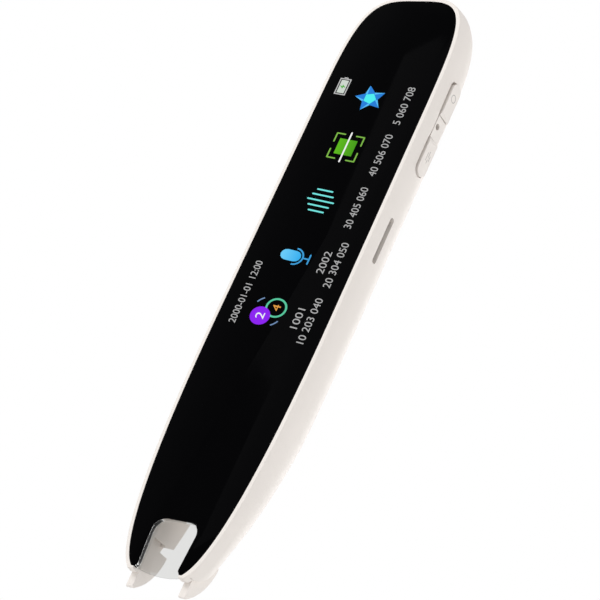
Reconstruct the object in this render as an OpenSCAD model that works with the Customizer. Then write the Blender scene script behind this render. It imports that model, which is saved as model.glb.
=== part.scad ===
// Scanning translator: a slim stick with a glass front, a forked nose with a reading
// window, two sprung scan feet, side keys, a card slot and a charging port.
// Millimetres. The stick stands on its nose: +Z runs up to the top end, the glass faces -Y.
// Places on the body are given by s, counted down from the top end, and by d, counted
// back from the glass face.

/* [Body] */
// Width over the widest line of the casing
body_w = 33.4; // [32.4:0.2:36]
// Thickness from the glass to the raised back
body_t = 13; // [12.6:0.1:14]
// Length of the casing without the scan feet
body_l = 153.8; // [150:0.2:162]
// Wall of the rear shell
wall = 1.5; // [1.3:0.05:1.7]
// Thickness of the shell's lip round the front frame
lip_t = 0.75; // [0.65:0.05:0.8]
// Depth of the widest line, behind the glass
waist_d = 4; // [3.4:0.1:4.4]
// How far the front edge leans in from the widest line
lean_in = 0.35; // [0.1:0.05:0.5]
// Height of the rounded back slopes above the raised back, where they would meet
crown_rise = 0.4; // [0.2:0.05:0.6]
// Visible seam between the front frame and the rear shell
seam = 0.1; // [0.05:0.05:0.2]

/* [Outline] */
// Length over which the top end reaches full width
corner_l = 42; // [36:1:48]
// Length over which the nose narrows
taper_l = 66.6; // [60:0.5:70]
// How far past the casing the narrowing lines would meet
taper_over = 1.9; // [1.5:0.1:2.4]
// Length of the rounding at the top of the back
end_round_l = 9; // [8:0.5:10]
// Depth of the rounding at the top of the back
end_round_d = 8; // [6:0.5:8.5]
// Length over which the back falls towards the nose
fall_l = 38.8; // [34:0.5:44]
// How far the back line falls at the nose
fall_d = 4.7; // [4:0.1:5.2]

/* [Front] */
// Thickness of the cover lens
lens_t = 1.1; // [0.9:0.05:1.2]
// White rim around the cover lens, with the lean
rim = 1.3; // [1.1:0.05:1.6]
// Thickness of the lens adhesive
gasket_t = 0.15; // [0.1:0.05:0.2]
// Depth of the frame's visible edge
flange_t = 0.85; // [0.7:0.05:1]
// Depth of the whole front frame
frame_t = 2.4; // [2.3:0.05:2.5]
// Width of the ledge that carries the lens
ledge_w = 1.45; // [1.2:0.05:1.6]

/* [Display] */
// Gap between the display panel and the frame's ledge at each side
display_side = 0.75; // [0.45:0.05:1.95]
// Length of the display panel
display_l = 76; // [70:0.5:78]
// Place of the display panel's top edge
display_from = 21.5; // [19:0.5:22]
// Thickness of the display panel
display_t = 1.2; // [1:0.1:1.3]
// Thickness of the backlight
backlight_t = 0.85; // [0.6:0.05:0.9]

/* [Nose] */
// Height of the reading window above the casing's end
window_l = 12.9; // [11.5:0.1:14]
// Half width of the reading window at its top
window_half = 6.2; // [5.6:0.1:6.3]
// Corner radius of the reading window
window_r = 3; // [2:0.1:3.4]
// Thickness of the reading window
window_t = 2.3; // [2:0.05:2.4]
// Half width of the open slot behind the window
slot_half = 6.4; // [6.3:0.05:6.6]
// Height of the slot's back edge above the casing's end
slot_l = 19.1; // [18:0.1:20]
// Fall of the slot's slanted wall for each millimetre of depth
slot_lean = 0.52; // [0.4:0.02:0.54]
// Thickness of the slot's side skins
skin_t = 0.65; // [0.5:0.05:0.8]

/* [Scan feet] */
// How far the scan feet stand out of the nose
foot_out = 3; // [2.4:0.1:3.4]
// Thickness of each foot
foot_t = 1.8; // [1.6:0.05:1.9]
// Radius of the round back edge of each foot
foot_r = 12.5; // [12:0.1:13]
// Travel of the feet
foot_travel = 1.2; // [0.6:0.1:1.3]
// Thickness of each arm behind its foot
arm_t = 1.05; // [0.9:0.05:1.1]
// Outer diameter of the return springs
spring_od = 2.2; // [2:0.1:2.4]
// Wire of the return springs
spring_wire = 0.35; // [0.25:0.05:0.4]
// Turns of each return spring
spring_turns = 4; // [3:1:5]

/* [Side keys] */
// Top end of the key strip
key_from = 20.7; // [19:0.1:22]
// Length of the key strip
key_l = 25.5; // [24:0.5:27]
// Width of the key strip
key_w = 4.2; // [3.8:0.1:4.4]
// Depth of the key strip's centre line
key_d = 6.2; // [6:0.1:6.4]
// How far the keys stand out at the glass side
key_proud = 0.45; // [0.3:0.05:0.6]
// Gap around the keys
key_gap = 0.18; // [0.08:0.02:0.2]
// Travel of the keys
key_travel = 0.4; // [0.2:0.05:0.4]
// Length of the fixed bridge between the keys
bridge_l = 5.8; // [5:0.2:7]

/* [Ports] */
// Width of the charging port's metal shell
usb_w = 8.94; // [8.94:0.01:8.98]
// Height of the charging port's metal shell
usb_h = 3.16; // [3.16:0.01:3.2]
// Length of the charging port
usb_l = 7.3; // [7:0.1:7.6]
// Place of the card slot's top end
card_from = 59; // [57:0.5:60]
// Length of the card slot in the side
card_l = 12; // [11.6:0.2:12.4]
// Width of the card slot in the side
card_w = 1.45; // [1.2:0.05:1.5]
// Depth that the card socket reaches into the body
card_reach = 15; // [14:0.5:16]

/* [Back] */
// Top end of the raised back
pad_from = 6.4; // [6.2:0.1:7.5]
// Half width of the raised back
pad_half = 10.9; // [10.6:0.1:11.4]
// Bevel along the raised back
pad_bevel = 0.35; // [0.2:0.05:0.45]
// Half width of the raised strip down the nose
neck_half = 7.6; // [7.4:0.1:7.8]
// Top end of the speaker grille
grille_from = 10; // [9.6:0.1:10.6]
// Half width of the speaker grille
grille_half = 8.4; // [8:0.1:8.8]
// Thickness of the speaker grille
grille_t = 0.8; // [0.6:0.05:0.85]
// Number of sound slots
slots = 7; // [5:2:7]
// Distance between sound slots
slot_pitch = 1.92; // [1.7:0.02:2]
// Width of each sound slot
slot_w = 0.95; // [0.7:0.05:1.1]
// Thickness of the dust mesh
mesh_t = 0.15; // [0.1:0.05:0.2]
// Top end of the brushed back plate
plate_from = 32.5; // [31.5:0.1:33.5]
// Distance from the brushed plate's lower end to the casing's end
plate_end = 30.6; // [29.8:0.1:33]
// Half width of the brushed back plate
plate_half = 9.35; // [9:0.05:9.6]
// Thickness of the brushed back plate
plate_t = 0.6; // [0.5:0.05:0.6]
// Thickness of the adhesive under the back plate
tape_t = 0.1; // [0.05:0.05:0.15]
// White lip between the grille and the back plate
lip_w = 0.9; // [0.6:0.05:1.1]

/* [Electronics] */
// Depth of the main board's front face
board_d = 4.9; // [4.8:0.05:5]
// Thickness of the main board
board_t = 0.8; // [0.6:0.1:1]
// Width of the battery
battery_w = 20; // [17:0.5:20.4]
// Room for the battery's tab and connector, down to the scan switch
battery_gap = 6.4; // [6.4:0.1:18.4]
// Thickness of the battery
battery_t = 4.4; // [3.4:0.1:4.6]
// Top end of the battery
battery_from = 48.5; // [48.2:0.1:50]
// Thickness of the middle chassis
chassis_t = 0.6; // [0.4:0.05:0.7]
// Shaft diameter of the screws
screw_d = 1.4; // [1.2:0.1:1.4]

/* [Hidden] */
$fn = 48;

white = [0.95, 0.94, 0.92];
total_l = body_l + foot_out;
half_body = body_w / 2;

// Exponents of the outline and of the cross-section
corner_p = 5.24;
corner_n = 3.62;
taper_p = 2.32;
taper_n = 3.81;
slope_n = 3;
nose_slope_n = 1.93;
nose_slope_rate = 1.43;
top_slope_rate = 1.6;
top_slope_l = 20;
waist_fall = 1;
// How fast the inset outline narrows and shortens at the nose
tip_narrow = 0.8;
tip_short = 0.62;
taper_from = body_l - taper_l;
fall_from = body_l - fall_l;

// Clearances
fit = 0.05;
slide_gap = 0.15;
over = 1;
far = 60;

// Front stack
seat_d = lens_t + gasket_t;
backlight_d = lens_t + display_t;
chassis_d = backlight_d + backlight_t + fit;
chassis_back = chassis_d + chassis_t;
board_back = board_d + board_t;
opening_up = 24;
opening_end = body_l - opening_up;
ledge_in = rim + ledge_w;
display_w = 2 * (half_body - ledge_in - display_side);

// Back stack
floor_d = body_t - 1.7;
grille_d = body_t - grille_t;
plate_d = body_t - plate_t;
tape_d = plate_d - tape_t;
pad_h = 0.5;
bullet_l = 28.2;
plate_taper = body_l - plate_end - bullet_l;

// Nose
window_top = body_l - window_l;
window_low = body_l - 0.3;
window_arc = 25;
window_waist = window_half - 0.55;
flange_top = window_top - 1.3;
flange_half = slot_half - fit;
slot_top = body_l - slot_l;
slot_edge_d = body_t - 1;
slot_corner = 2;
shell_end = body_l - 0.95;
lip_probe = 6.4;
lip_rise = 0.15;

// Scan feet
foot_in = slot_half + fit;
foot_outer = foot_in + foot_t;
arm_in = foot_outer - arm_t;
foot_d = frame_t + 0.1;
foot_round = 0.45;
foot_cd = -3.45;
foot_cs = total_l - foot_round
    - sqrt(pow(foot_r - foot_round, 2) - pow(foot_d + foot_round - foot_cd, 2));
foot_post_d = 6.1;
foot_top_up = 7.15;
foot_top = body_l - foot_top_up;
foot_step = 0.55;
foot_shoulder = foot_top - foot_step;
skin_end = foot_shoulder - foot_travel - slide_gap;
room_d = 9.3;
room_up = 2.3;
room_s = foot_top - room_up;
room_slope = 0.36;
arm_d = foot_d + 0.1;
arm_back = 6;
bar_up = 25.8;
bar_s = body_l - bar_up;
bar_h = 3;
bar_d = 7;
bar_t = 1.8;
bar_mid = bar_d + bar_t / 2;
spring_x = 6.2;
spring_l = 4;
spring_pin = 2;
spring_pin_r = 0.45;

// Side keys
key_end = key_from + key_l;
key_mid = (key_from + key_end) / 2;
key_in = half_body - wall - fit;
key_out = half_body + key_proud;
key_low = half_body + 0.05;
key_slope = 1.3;
key_tilt = 0.35;
stop_t = 0.45;
stop_lap = 0.22;
stop_x = key_in - 0.1;
pinhole_r = 0.55;
pinhole_s = key_mid - 0.45;
pinhole_d = key_d - 0.9;
switch_s = [25.5, 41.2];
switch_size = 3.4;
switch_h = 2.1;
switch_x = stop_x - stop_t - 1;
plunger_r = 0.6;
plunger_l = 2;
plunger_d = board_back + switch_h / 2 + 0.05;

// Ports
usb_d = board_d + board_t / 2;
usb_from = 0.9;
usb_wall = 0.28;
usb_gap = 0.12;
tongue_w = 6.7;
tongue_t = 0.7;
card_d = board_d - 0.75;
card_h = 1.5;

// Screws: the board's from the side, the casing's from the middle, then [x, s] of them all
board_screw_in = [5.2, 4.3];
board_screw_s = [11, 77];
case_screw_x = [7.6, 6.8];
case_screw_up = 37.8;
case_screw_s = [37.5, body_l - case_screw_up];
board_holes = [for (i = [0, 1], side = [-1, 1])
    [side * (half_body - board_screw_in[i]), board_screw_s[i]]];
case_holes = [for (i = [0, 1], side = [-1, 1]) [side * case_screw_x[i], case_screw_s[i]]];
screw_r = screw_d / 2;
head_r = 1.2;
head_t = 0.6;
boss_r = 1.7;
board_end_up = 31.3;
board_top = 6;
board_end = body_l - board_end_up;
chassis_end = bar_s - spring_l;
scan_switch_l = 5.6;
scan_switch_half = 2.6;
scan_switch_h = 3.2;
scan_switch_s = board_end - scan_switch_l;

function z_of(s) = total_l - s;
function y_of(d) = d - body_t / 2;
function flip(list) = [for (i = [len(list) - 1:-1:0]) list[i]];
// Points along an arc, for rounded corners
function arc(c, r, a0, a1, n) =
    [for (i = [0:n]) let (a = a0 + (a1 - a0) * i / n) c + r * [cos(a), sin(a)]];
// Closed outline from its right side
function mirrored(side) = concat(side, [for (p = flip(side)) [-p[0], p[1]]]);

// Half width of the casing at s
function half_w(s) =
    s < corner_l ? half_body * pow(1 - pow(1 - s / corner_l, corner_p), 1 / corner_n)
    : s > taper_from ? half_body
        * pow(1 - pow((s - taper_from) / (taper_l + taper_over), taper_p), 1 / taper_n)
    : half_body;
function half_slope(s) = (half_w(s + 0.01) - half_w(s - 0.01)) / 0.02;

// Places along the body where the outline is worked out, closest at its two ends
top_steps = [for (i = [1:16]) corner_l * pow(i / 16, 3)];
nose_steps = [for (i = [0:17]) taper_from + taper_l * (1 - pow(1 - i / 18, 1.6))];
body_steps = concat(top_steps, nose_steps, [body_l - 0.25]);

// A point of the outline, moved in square to the edge by g
function inset_point(s, g) =
    let (k = half_slope(s), n = sqrt(1 + k * k))
    [half_w(s) - g / n, s + g * k / n];
// The whole outline, moved in by g, with a straight end across the nose
function outline(g) =
    let (tip = [half_w(body_l) - tip_narrow * g, body_l - tip_short * g])
    mirrored(concat([for (s = body_steps) inset_point(s, g)], [tip]));

// Back line, widest line and roundness of the cross-section at s
function nose_share(s) = max(0, (s - fall_from) / fall_l);
function end_drop(s) = s >= end_round_l ? 0
    : end_round_d * (1 - sqrt(1 - pow(1 - s / end_round_l, 2)));
function crown_at(s) = body_t + crown_rise - end_drop(s) - fall_d * pow(nose_share(s), 2);
function waist_at(s) = waist_d - waist_fall * nose_share(s);
function slope_at(s) = s < top_slope_l ? slope_n - top_slope_rate * pow(1 - s / top_slope_l, 2)
    : max(nose_slope_n, slope_n - nose_slope_rate * nose_share(s));
function lean_at(d) = lean_in * pow(max(0, waist_d - d) / waist_d, 2);
// Depth of the back slope at x
function back_d(x, s) = waist_at(s) + (crown_at(s) - waist_at(s))
    * pow(1 - pow(min(1, x / half_w(s)), slope_at(s)), 1 / slope_at(s));
function pad_level(s) = min(body_t, back_d(lip_probe, s) + lip_rise);

// Ring of the cross-section, from the front edge over the back and round again.
// hw is its half width and g the wall that is taken off the back.
function ring(s, z, hw, g, front, cap, angles) =
    let (waist = waist_at(s), rise = crown_at(s) - g - waist, n = slope_at(s),
        half = concat([[hw - (g > 0 ? 0 : lean_at(front)), front]],
            [for (t = angles) [hw * pow(sin(t), 2 / n),
                min(cap, waist + rise * pow(cos(t), 2 / n))]]),
        m = len(half))
    [for (i = [0:2 * m - 2]) let (p = i < m ? half[i] : half[2 * m - 2 - i])
        [i < m ? p[0] : -p[0], y_of(p[1]), z]];

// Solid through rings of equal length, each running clockwise as seen from the first end
module loft(rings) {
    n = len(rings[0]);
    m = len(rings);
    polyhedron(
        points = [for (r = rings) each r],
        faces = concat(
            [[for (i = [0:n - 1]) i]],
            [for (k = [0:m - 2]) for (i = [0:n - 1]) let (j = (i + 1) % n)
                [k * n + j, k * n + i, (k + 1) * n + i, (k + 1) * n + j]],
            [[for (i = [n - 1:-1:0]) (m - 1) * n + i]]),
        convexity = 8);
}

// Box between two places across, along and deep
module block(x0, x1, s0, s1, d0, d1)
    translate([x0, y_of(d0), z_of(s1)]) cube([x1 - x0, d1 - d0, s1 - s0]);
// Drawing in x and s, as thick as from d0 to d1
module plate(d0, d1)
    translate([0, y_of(d0), total_l]) rotate([-90, 0, 0]) linear_extrude(d1 - d0) children();
// Drawing in d and s, as wide as from x0 to x1
module slice(x0, x1)
    translate([x1, y_of(0), total_l]) rotate([-90, 0, 90]) linear_extrude(x1 - x0) children();
// Drawing in x and d, as long as from s0 to s1
module column(s0, s1)
    translate([0, y_of(0), z_of(s1)]) linear_extrude(s1 - s0) children();
module pin_x(x0, x1, s, d, r)
    translate([x0, y_of(d), z_of(s)]) rotate([0, 90, 0]) cylinder(h = x1 - x0, r = r);
module pin_d(x, s, d0, d1, r)
    translate([x, y_of(d0), z_of(s)]) rotate([-90, 0, 0]) cylinder(h = d1 - d0, r = r);
module pin_s(x, d, s0, s1, r)
    translate([x, y_of(d), z_of(s1)]) cylinder(h = s1 - s0, r = r);
module stadium(x0, x1, y0, y1) {
    r = min(x1 - x0, y1 - y0) / 2;
    for (p = [[x0 + r, y0 + r], [x1 - r, y1 - r]]) translate(p) circle(r = r);
    if (x1 - x0 > y1 - y0) translate([x0 + r, y0]) square([x1 - x0 - 2 * r, y1 - y0]);
    else translate([x0, y0 + r]) square([x1 - x0, y1 - y0 - 2 * r]);
}
module rounded(x0, x1, y0, y1, r) {
    translate([x0 + r, y0]) square([x1 - x0 - 2 * r, y1 - y0]);
    translate([x0, y0 + r]) square([x1 - x0, y1 - y0 - 2 * r]);
    for (x = [x0 + r, x1 - r], y = [y0 + r, y1 - r]) translate([x, y]) circle(r = r);
}
module both_sides() {
    children();
    mirror([1, 0, 0]) children();
}

/* Front */

// Notch of the cover lens, made smaller by g for the window that fills it
module notch(g) {
    side = concat(
        arc([window_half - window_r, window_top + window_r], window_r - g, -90, 0, 8),
        [[window_waist - g, body_l - 2.3], [window_waist - g, body_l - 1.6],
            [slot_half - fit - g, body_l - 0.8], [slot_half - fit - g, body_l + over]]);
    polygon(mirrored(side));
}
// The window's lower edge is a shallow arc
module window_end() translate([0, window_low - window_arc]) circle(r = window_arc, $fn = 128);

// Opening of the front frame behind the lens
module display_opening()
    intersection() {
        polygon(outline(ledge_in));
        translate([-half_body, 0]) square([body_w, opening_end]);
    }

module cover_lens()
    color([0.03, 0.03, 0.03]) plate(0, lens_t) difference() {
        polygon(outline(rim));
        notch(0);
    }

module reading_window() color([0.8, 0.83, 0.85, 0.4]) {
    plate(0, lens_t) intersection() {
        notch(fit);
        window_end();
    }
    plate(lens_t, window_t) intersection() {
        translate([-flange_half, flange_top]) square([2 * flange_half, window_l + over]);
        window_end();
    }
}

// Layers of the frame's visible edge, from the glass side to the seam: [d, inset]
edge_r = 0.15;
prong_l = 5;
edge_layers = [[0, lean_at(0) + edge_r], [edge_r / 3, lean_at(edge_r) + edge_r / 3],
    [edge_r, lean_at(edge_r)], [flange_t, lean_at(flange_t)]];

module front_frame() color(white) difference() {
    union() {
        loft([for (e = edge_layers) [for (p = outline(e[1])) [p[0], y_of(e[0]), z_of(p[1])]]]);
        plate(flange_t / 2, frame_t) polygon(outline(lip_t + fit));
        plate(flange_t / 2, frame_t) intersection() {
            polygon(outline(lean_at(flange_t)));
            union() {
                translate([-foot_outer - 0.1, body_l - prong_l]) square([2 * foot_outer + 0.2, far]);
                translate([-half_body, shell_end + fit]) square([body_w, far]);
            }
        }
    }
    plate(-over, seat_d) polygon(outline(rim - fit));
    plate(-over, frame_t + over) {
        display_opening();
        translate([-slot_half, flange_top - fit]) square([2 * slot_half, far]);
    }
}

module lens_gasket() color([0.1, 0.1, 0.1]) plate(lens_t, seat_d) difference() {
    polygon(outline(rim + 0.1));
    display_opening();
    translate([-slot_half, flange_top - fit]) square([2 * slot_half, far]);
}

module display_panel() color([0.05, 0.05, 0.08])
    block(-display_w / 2, display_w / 2, display_from, display_from + display_l,
        lens_t, backlight_d);

module backlight_unit() color([0.75, 0.76, 0.78]) difference() {
    block(-display_w / 2 - 0.2, display_w / 2 + 0.2, display_from - 0.4,
        display_from + display_l + 0.4, backlight_d, backlight_d + backlight_t);
    // Pressed panel in the back
    block(-display_w / 2 + 2, display_w / 2 - 2, display_from + 3,
        display_from + display_l - 3, backlight_d + backlight_t - 0.15, far);
}

/* Display connection */

flex_t = 0.15;
flex_half = 4.5;
flex_from = display_from + display_l + 0.4;
flex_turn = flex_from + 2.2;
flex_low = board_d - 0.75;
connector_l = 2.2;

module display_flex() color([0.85, 0.55, 0.2]) slice(-flex_half, flex_half) {
    translate([backlight_d + 0.2, flex_from]) square([flex_t, flex_turn - flex_from]);
    translate([backlight_d + 0.2, flex_turn - flex_t]) square([flex_low - backlight_d - 0.2, flex_t]);
    translate([flex_low - flex_t, flex_turn - flex_t]) square([flex_t, connector_l + flex_t]);
}

module display_connector() color([0.2, 0.2, 0.2])
    block(-flex_half - 0.6, flex_half + 0.6, flex_turn, flex_turn + connector_l, flex_low, board_d);

/* Chassis and main board */

// Room for the keys at the right edge of a flat part
module key_notch() translate([stop_x - stop_t - key_travel - 0.15, key_from - 1.2])
    square([far, key_l + 2.4]);
// Room for the charging port at the top edge of a flat part
module usb_notch() translate([-usb_w / 2 - fit, -over])
    square([usb_w + 2 * fit, over + usb_from + usb_l + fit]);
module flat_part(g, s_end, s_start = 0) difference() {
    intersection() {
        polygon(outline(g));
        translate([-half_body, s_start]) square([body_w, s_end - s_start]);
    }
    key_notch();
    usb_notch();
}

module mid_frame() color([0.7, 0.71, 0.73]) difference() {
    union() {
        plate(chassis_d, chassis_back) flat_part(wall + 2 * slide_gap, chassis_end);
        // Rim that stands on the back of the front frame
        plate(frame_t, chassis_d + fit) difference() {
            flat_part(wall + 2 * slide_gap, opening_end);
            display_opening();
        }
        for (h = board_holes) pin_d(h[0], h[1], chassis_d, board_d, boss_r);
        for (h = case_holes) pin_d(h[0], h[1], chassis_d, board_d, boss_r);
        // Spring seats
        both_sides() block(spring_x - spring_od / 2 - 0.1, spring_x + spring_od / 2 + 0.1,
            chassis_end - 0.8, chassis_end, chassis_d, bar_mid + spring_od / 2);
    }
    for (h = board_holes) pin_d(h[0], h[1], 0, far, screw_r + 0.02);
    for (h = case_holes) pin_d(h[0], h[1], 0, far, screw_r + 0.02);
    // Windows for the card socket and the display flex
    block(half_body - wall - card_reach - 0.5, far, card_from - 1.2, card_from + card_l + 1.2, 0, far);
    block(-flex_half - 0.8, flex_half + 0.8, flex_turn - 0.6, flex_turn + connector_l + 0.4, 0, far);
}

module main_board() color([0.1, 0.35, 0.2]) difference() {
    plate(board_d, board_back) flat_part(wall + 0.4, board_end, board_top);
    for (h = board_holes) pin_d(h[0], h[1], 0, far, screw_r + 0.15);
    for (h = case_holes) pin_d(h[0], h[1], 0, far, screw_r + 0.15);
}

can_t = 0.2;
can_h = 1.7;
can_half = 5.4;
can_from = 33;
can_l = 13.4;

memory_in = 9;
// Packages on the back of the board: left edge, top edge, then width, length and height
processor_box = [-4.6, can_from + 0.8, 8, 7.5, 1.1];
memory_box = [-4.2, can_from + memory_in, 7.4, 3.8, 0.9];
power_box = [-9.8, 13.5, 5, 5, 0.9];
antenna_in = 4.7;
antenna_box = [antenna_in - half_body, 19.5, 3.2, 9, 1.1];
microphone_in = 7.3;
microphone_box = [half_body - microphone_in, pinhole_s - 1.5, 3.5, 3, 1];
module package(b) block(b[0], b[0] + b[2], b[1], b[1] + b[3], board_back, board_back + b[4]);

module shield_can() color([0.78, 0.78, 0.8]) difference() {
    block(-can_half, can_half, can_from, can_from + can_l, board_back, board_back + can_h);
    block(-can_half + can_t, can_half - can_t, can_from + can_t, can_from + can_l - can_t,
        board_back - over, board_back + can_h - can_t);
}
module processor() color([0.12, 0.12, 0.13]) package(processor_box);
module memory_chip() color([0.15, 0.15, 0.16]) package(memory_box);
module power_chip() color([0.13, 0.13, 0.14]) package(power_box);
module antenna() color([0.85, 0.82, 0.75]) package(antenna_box);
module microphone() color([0.8, 0.75, 0.5]) difference() {
    package(microphone_box);
    // Sound hole towards the pinhole in the key bridge
    pin_x(microphone_box[0] + 1.6, far, pinhole_s, board_back + microphone_box[4] / 2, 0.25);
}

/* Ports */

module usb_section(g) stadium(-usb_w / 2 - g, usb_w / 2 + g,
    usb_d - usb_h / 2 - g, usb_d + usb_h / 2 + g);

module usb_port() color([0.75, 0.76, 0.78]) difference() {
    column(usb_from, usb_from + usb_l) usb_section(0);
    column(usb_from - over, usb_from + usb_l - 0.4) usb_section(-usb_wall);
}

module usb_tongue() color([0.12, 0.12, 0.12]) {
    block(-tongue_w / 2, tongue_w / 2, usb_from + 0.9, usb_from + usb_l - 1.4,
        usb_d - tongue_t / 2, usb_d + tongue_t / 2);
    column(usb_from + usb_l - 1.4, usb_from + usb_l - 0.4) usb_section(-usb_wall);
}

card_x0 = half_body - wall - card_reach;
card_x1 = half_body - wall - 0.25;
contact_l = 4;
contact_in = 0.8;
contact_w = 0.5;
contact_pitch = 1.1;
contact_s = card_from + 1.7;

module card_socket() color([0.72, 0.73, 0.75]) difference() {
    block(card_x0, card_x1, card_from - 0.9, card_from + card_l + 0.9,
        card_d - card_h / 2, card_d + card_h / 2);
    block(card_x0 + 0.8, card_x1 + over, card_from + 0.2, card_from + card_l - 0.2,
        card_d - 0.45, card_d + 0.45);
}
module card_contacts() color([0.85, 0.7, 0.35])
    for (i = [0:7]) block(card_x0 + contact_in, card_x0 + contact_in + contact_l,
        contact_s + contact_pitch * i, contact_s + contact_pitch * i + contact_w,
        card_d + 0.3, card_d + 0.45);

/* Side keys */

module key_strip(g) stadium(key_d - key_w / 2 + g, key_d + key_w / 2 - g, key_from + g, key_end - g);
// Outer face, tilted with the side of the casing
module key_face(x) column(key_from - over, key_end + over)
    polygon([[key_in - 2, key_d - far], [x, key_d - far], [x, key_d - key_w / 2],
        [x - key_tilt, key_d + key_w / 2], [x - key_tilt, key_d + far], [key_in - 2, key_d + far]]);
// One key between two places; low is the end with the slope, up or down
module key_cap(s0, s1, slope_up) intersection() {
    slice(stop_x - stop_t, far) key_strip(key_gap);
    key_face(key_out);
    plate(0, body_t) polygon(slope_up
        ? [[0, s0], [key_low, s0], [key_out + 0.01, s0 + key_slope], [far, s0 + key_slope],
            [far, s1], [0, s1]]
        : [[0, s0], [far, s0], [far, s1 - key_slope], [key_out + 0.01, s1 - key_slope],
            [key_low, s1], [0, s1]]);
}
module key_stop(s0, s1, x) block(x - stop_t, x, s0, s1,
    key_d - key_w / 2 - stop_lap, key_d + key_w / 2 + stop_lap);

bridge_s0 = key_mid - bridge_l / 2;
bridge_s1 = key_mid + bridge_l / 2;

module power_key() color(white) {
    key_cap(key_from - over, bridge_s0 - key_gap, false);
    key_stop(key_from - 0.4, bridge_s0 - 0.2, stop_x);
}
module function_key() color(white) {
    key_cap(bridge_s1 + key_gap, key_end + over, true);
    key_stop(bridge_s1 + 0.2, key_end + 0.4, stop_x);
}
module key_bridge() color(white) difference() {
    union() {
        intersection() {
            slice(stop_x - stop_t, far) key_strip(key_gap / 2);
            key_face(key_low);
            plate(0, body_t) translate([0, bridge_s0]) square([far, bridge_l]);
        }
        key_stop(bridge_s0, bridge_s1, key_in + fit);
    }
    pin_x(0, far, pinhole_s, pinhole_d, pinhole_r);
}
module key_switches() color([0.3, 0.3, 0.32]) for (s = switch_s) difference() {
    block(switch_x - switch_size, switch_x, s - switch_size / 2, s + switch_size / 2,
        board_back, board_back + switch_h);
    pin_x(switch_x - plunger_l, far, s, plunger_d, plunger_r + fit);
}
module key_plunger(s) pin_x(stop_x - stop_t - plunger_l, stop_x - stop_t, s, plunger_d, plunger_r);
module power_plunger() color([0.9, 0.6, 0.2]) key_plunger(switch_s[0]);
module function_plunger() color([0.9, 0.6, 0.2]) key_plunger(switch_s[1]);

/* Power and sound */

cushion_t = 0.4;
cushion_half = 7;
cushion_in = 4;
battery_d = floor_d - cushion_t - battery_t;
battery_end = scan_switch_s - battery_gap;
battery_l = battery_end - battery_from;
tab_l = 1.6;
tab_t = 0.8;
tab_in = 2;
tab_d = battery_d + battery_t - tab_l;

module battery() color([0.25, 0.45, 0.65]) {
    column(battery_from, battery_from + battery_l)
        rounded(-battery_w / 2, battery_w / 2, battery_d, battery_d + battery_t, 1.4);
    block(tab_in - battery_w / 2, battery_w / 2 - tab_in, battery_end - 0.01, battery_end + tab_l,
        tab_d, tab_d + tab_t);
}
module battery_pad() color([0.3, 0.3, 0.3])
    block(-cushion_half, cushion_half, battery_from + cushion_in, battery_end - cushion_in,
        battery_d + battery_t, floor_d);
// Two wires from the battery's tab forward to the board and along to the connector
wire = 0.8;
wire_x = 1.2;
wire_d = board_back + 0.3;
wire_s = battery_end + 0.4;
plug_half = 2.6;
plug_l = 3;
plug_h = 1.4;
connector_s = battery_end + tab_l + 1.4;
module battery_lead() color([0.8, 0.2, 0.15]) both_sides() slice(wire_x - wire / 2, wire_x + wire / 2) {
    translate([wire_d, wire_s]) square([tab_d - wire_d, wire]);
    translate([wire_d, wire_s]) square([wire, connector_s - wire_s]);
}
module battery_connector() color([0.9, 0.88, 0.8])
    block(-plug_half, plug_half, connector_s, connector_s + plug_l, board_back, board_back + plug_h);

speaker_half = 7;
speaker_from = 11.5;
speaker_l = 18.5;
speaker_h = 3;
speaker_d = floor_d - 0.5 - speaker_h;

module speaker() color([0.2, 0.2, 0.22]) difference() {
    plate(speaker_d, speaker_d + speaker_h)
        rounded(-speaker_half, speaker_half, speaker_from, speaker_from + speaker_l, 1.5);
    // Dished cone
    plate(speaker_d + speaker_h - 0.6, far)
        rounded(-speaker_half + 1.4, speaker_half - 1.4, speaker_from + 1.8,
            speaker_from + speaker_l - 1.8, 3);
}
module speaker_gasket() color([0.15, 0.15, 0.15])
    plate(speaker_d + speaker_h, floor_d) difference() {
        rounded(-speaker_half, speaker_half, speaker_from, speaker_from + speaker_l, 1.5);
        rounded(-speaker_half + 1, speaker_half - 1, speaker_from + 1,
            speaker_from + speaker_l - 1, 1);
    }

/* Back */

slot_in = 10.1;
slot_mid = grille_from + slot_in;
// Half length of each sound slot, from the outer one to the middle
slot_reach = [3.3, 2.7, 3.8, 5.1];
slot_slant = 0.9;
// Side of each slot's longer edge, from the first slot on
slot_sides = [1, -1, 1, 1, -1, 1, -1];
mesh_half = slots * slot_pitch / 2 + 0.3;
mesh_reach = 6;

// One sound slot with slanted ends
module sound_slot(i) {
    k = (slots - 1) / 2 - abs(i - (slots - 1) / 2);
    h = slot_reach[max(0, min(3, k))];
    side = slot_sides[i % len(slot_sides)];
    x = (i - (slots - 1) / 2) * slot_pitch;
    a = slot_w / 2;
    translate([x, slot_mid]) polygon([[-a * side, -h], [a * side, -h + slot_slant],
        [a * side, h - slot_slant], [-a * side, h]]);
}

grille_r = 4;
plate_r = 4.5;
plate_tip = 0.05;
// Half width of the brushed plate at s, and its slope
function plate_half_at(s) =
    plate_half * pow(1 - pow(min(1, max(0, s - plate_taper) / bullet_l), 4), 1 / 3);
function plate_slope(s) = (plate_half_at(s + 0.01) - plate_half_at(s - 0.01)) / 0.02;
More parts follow.
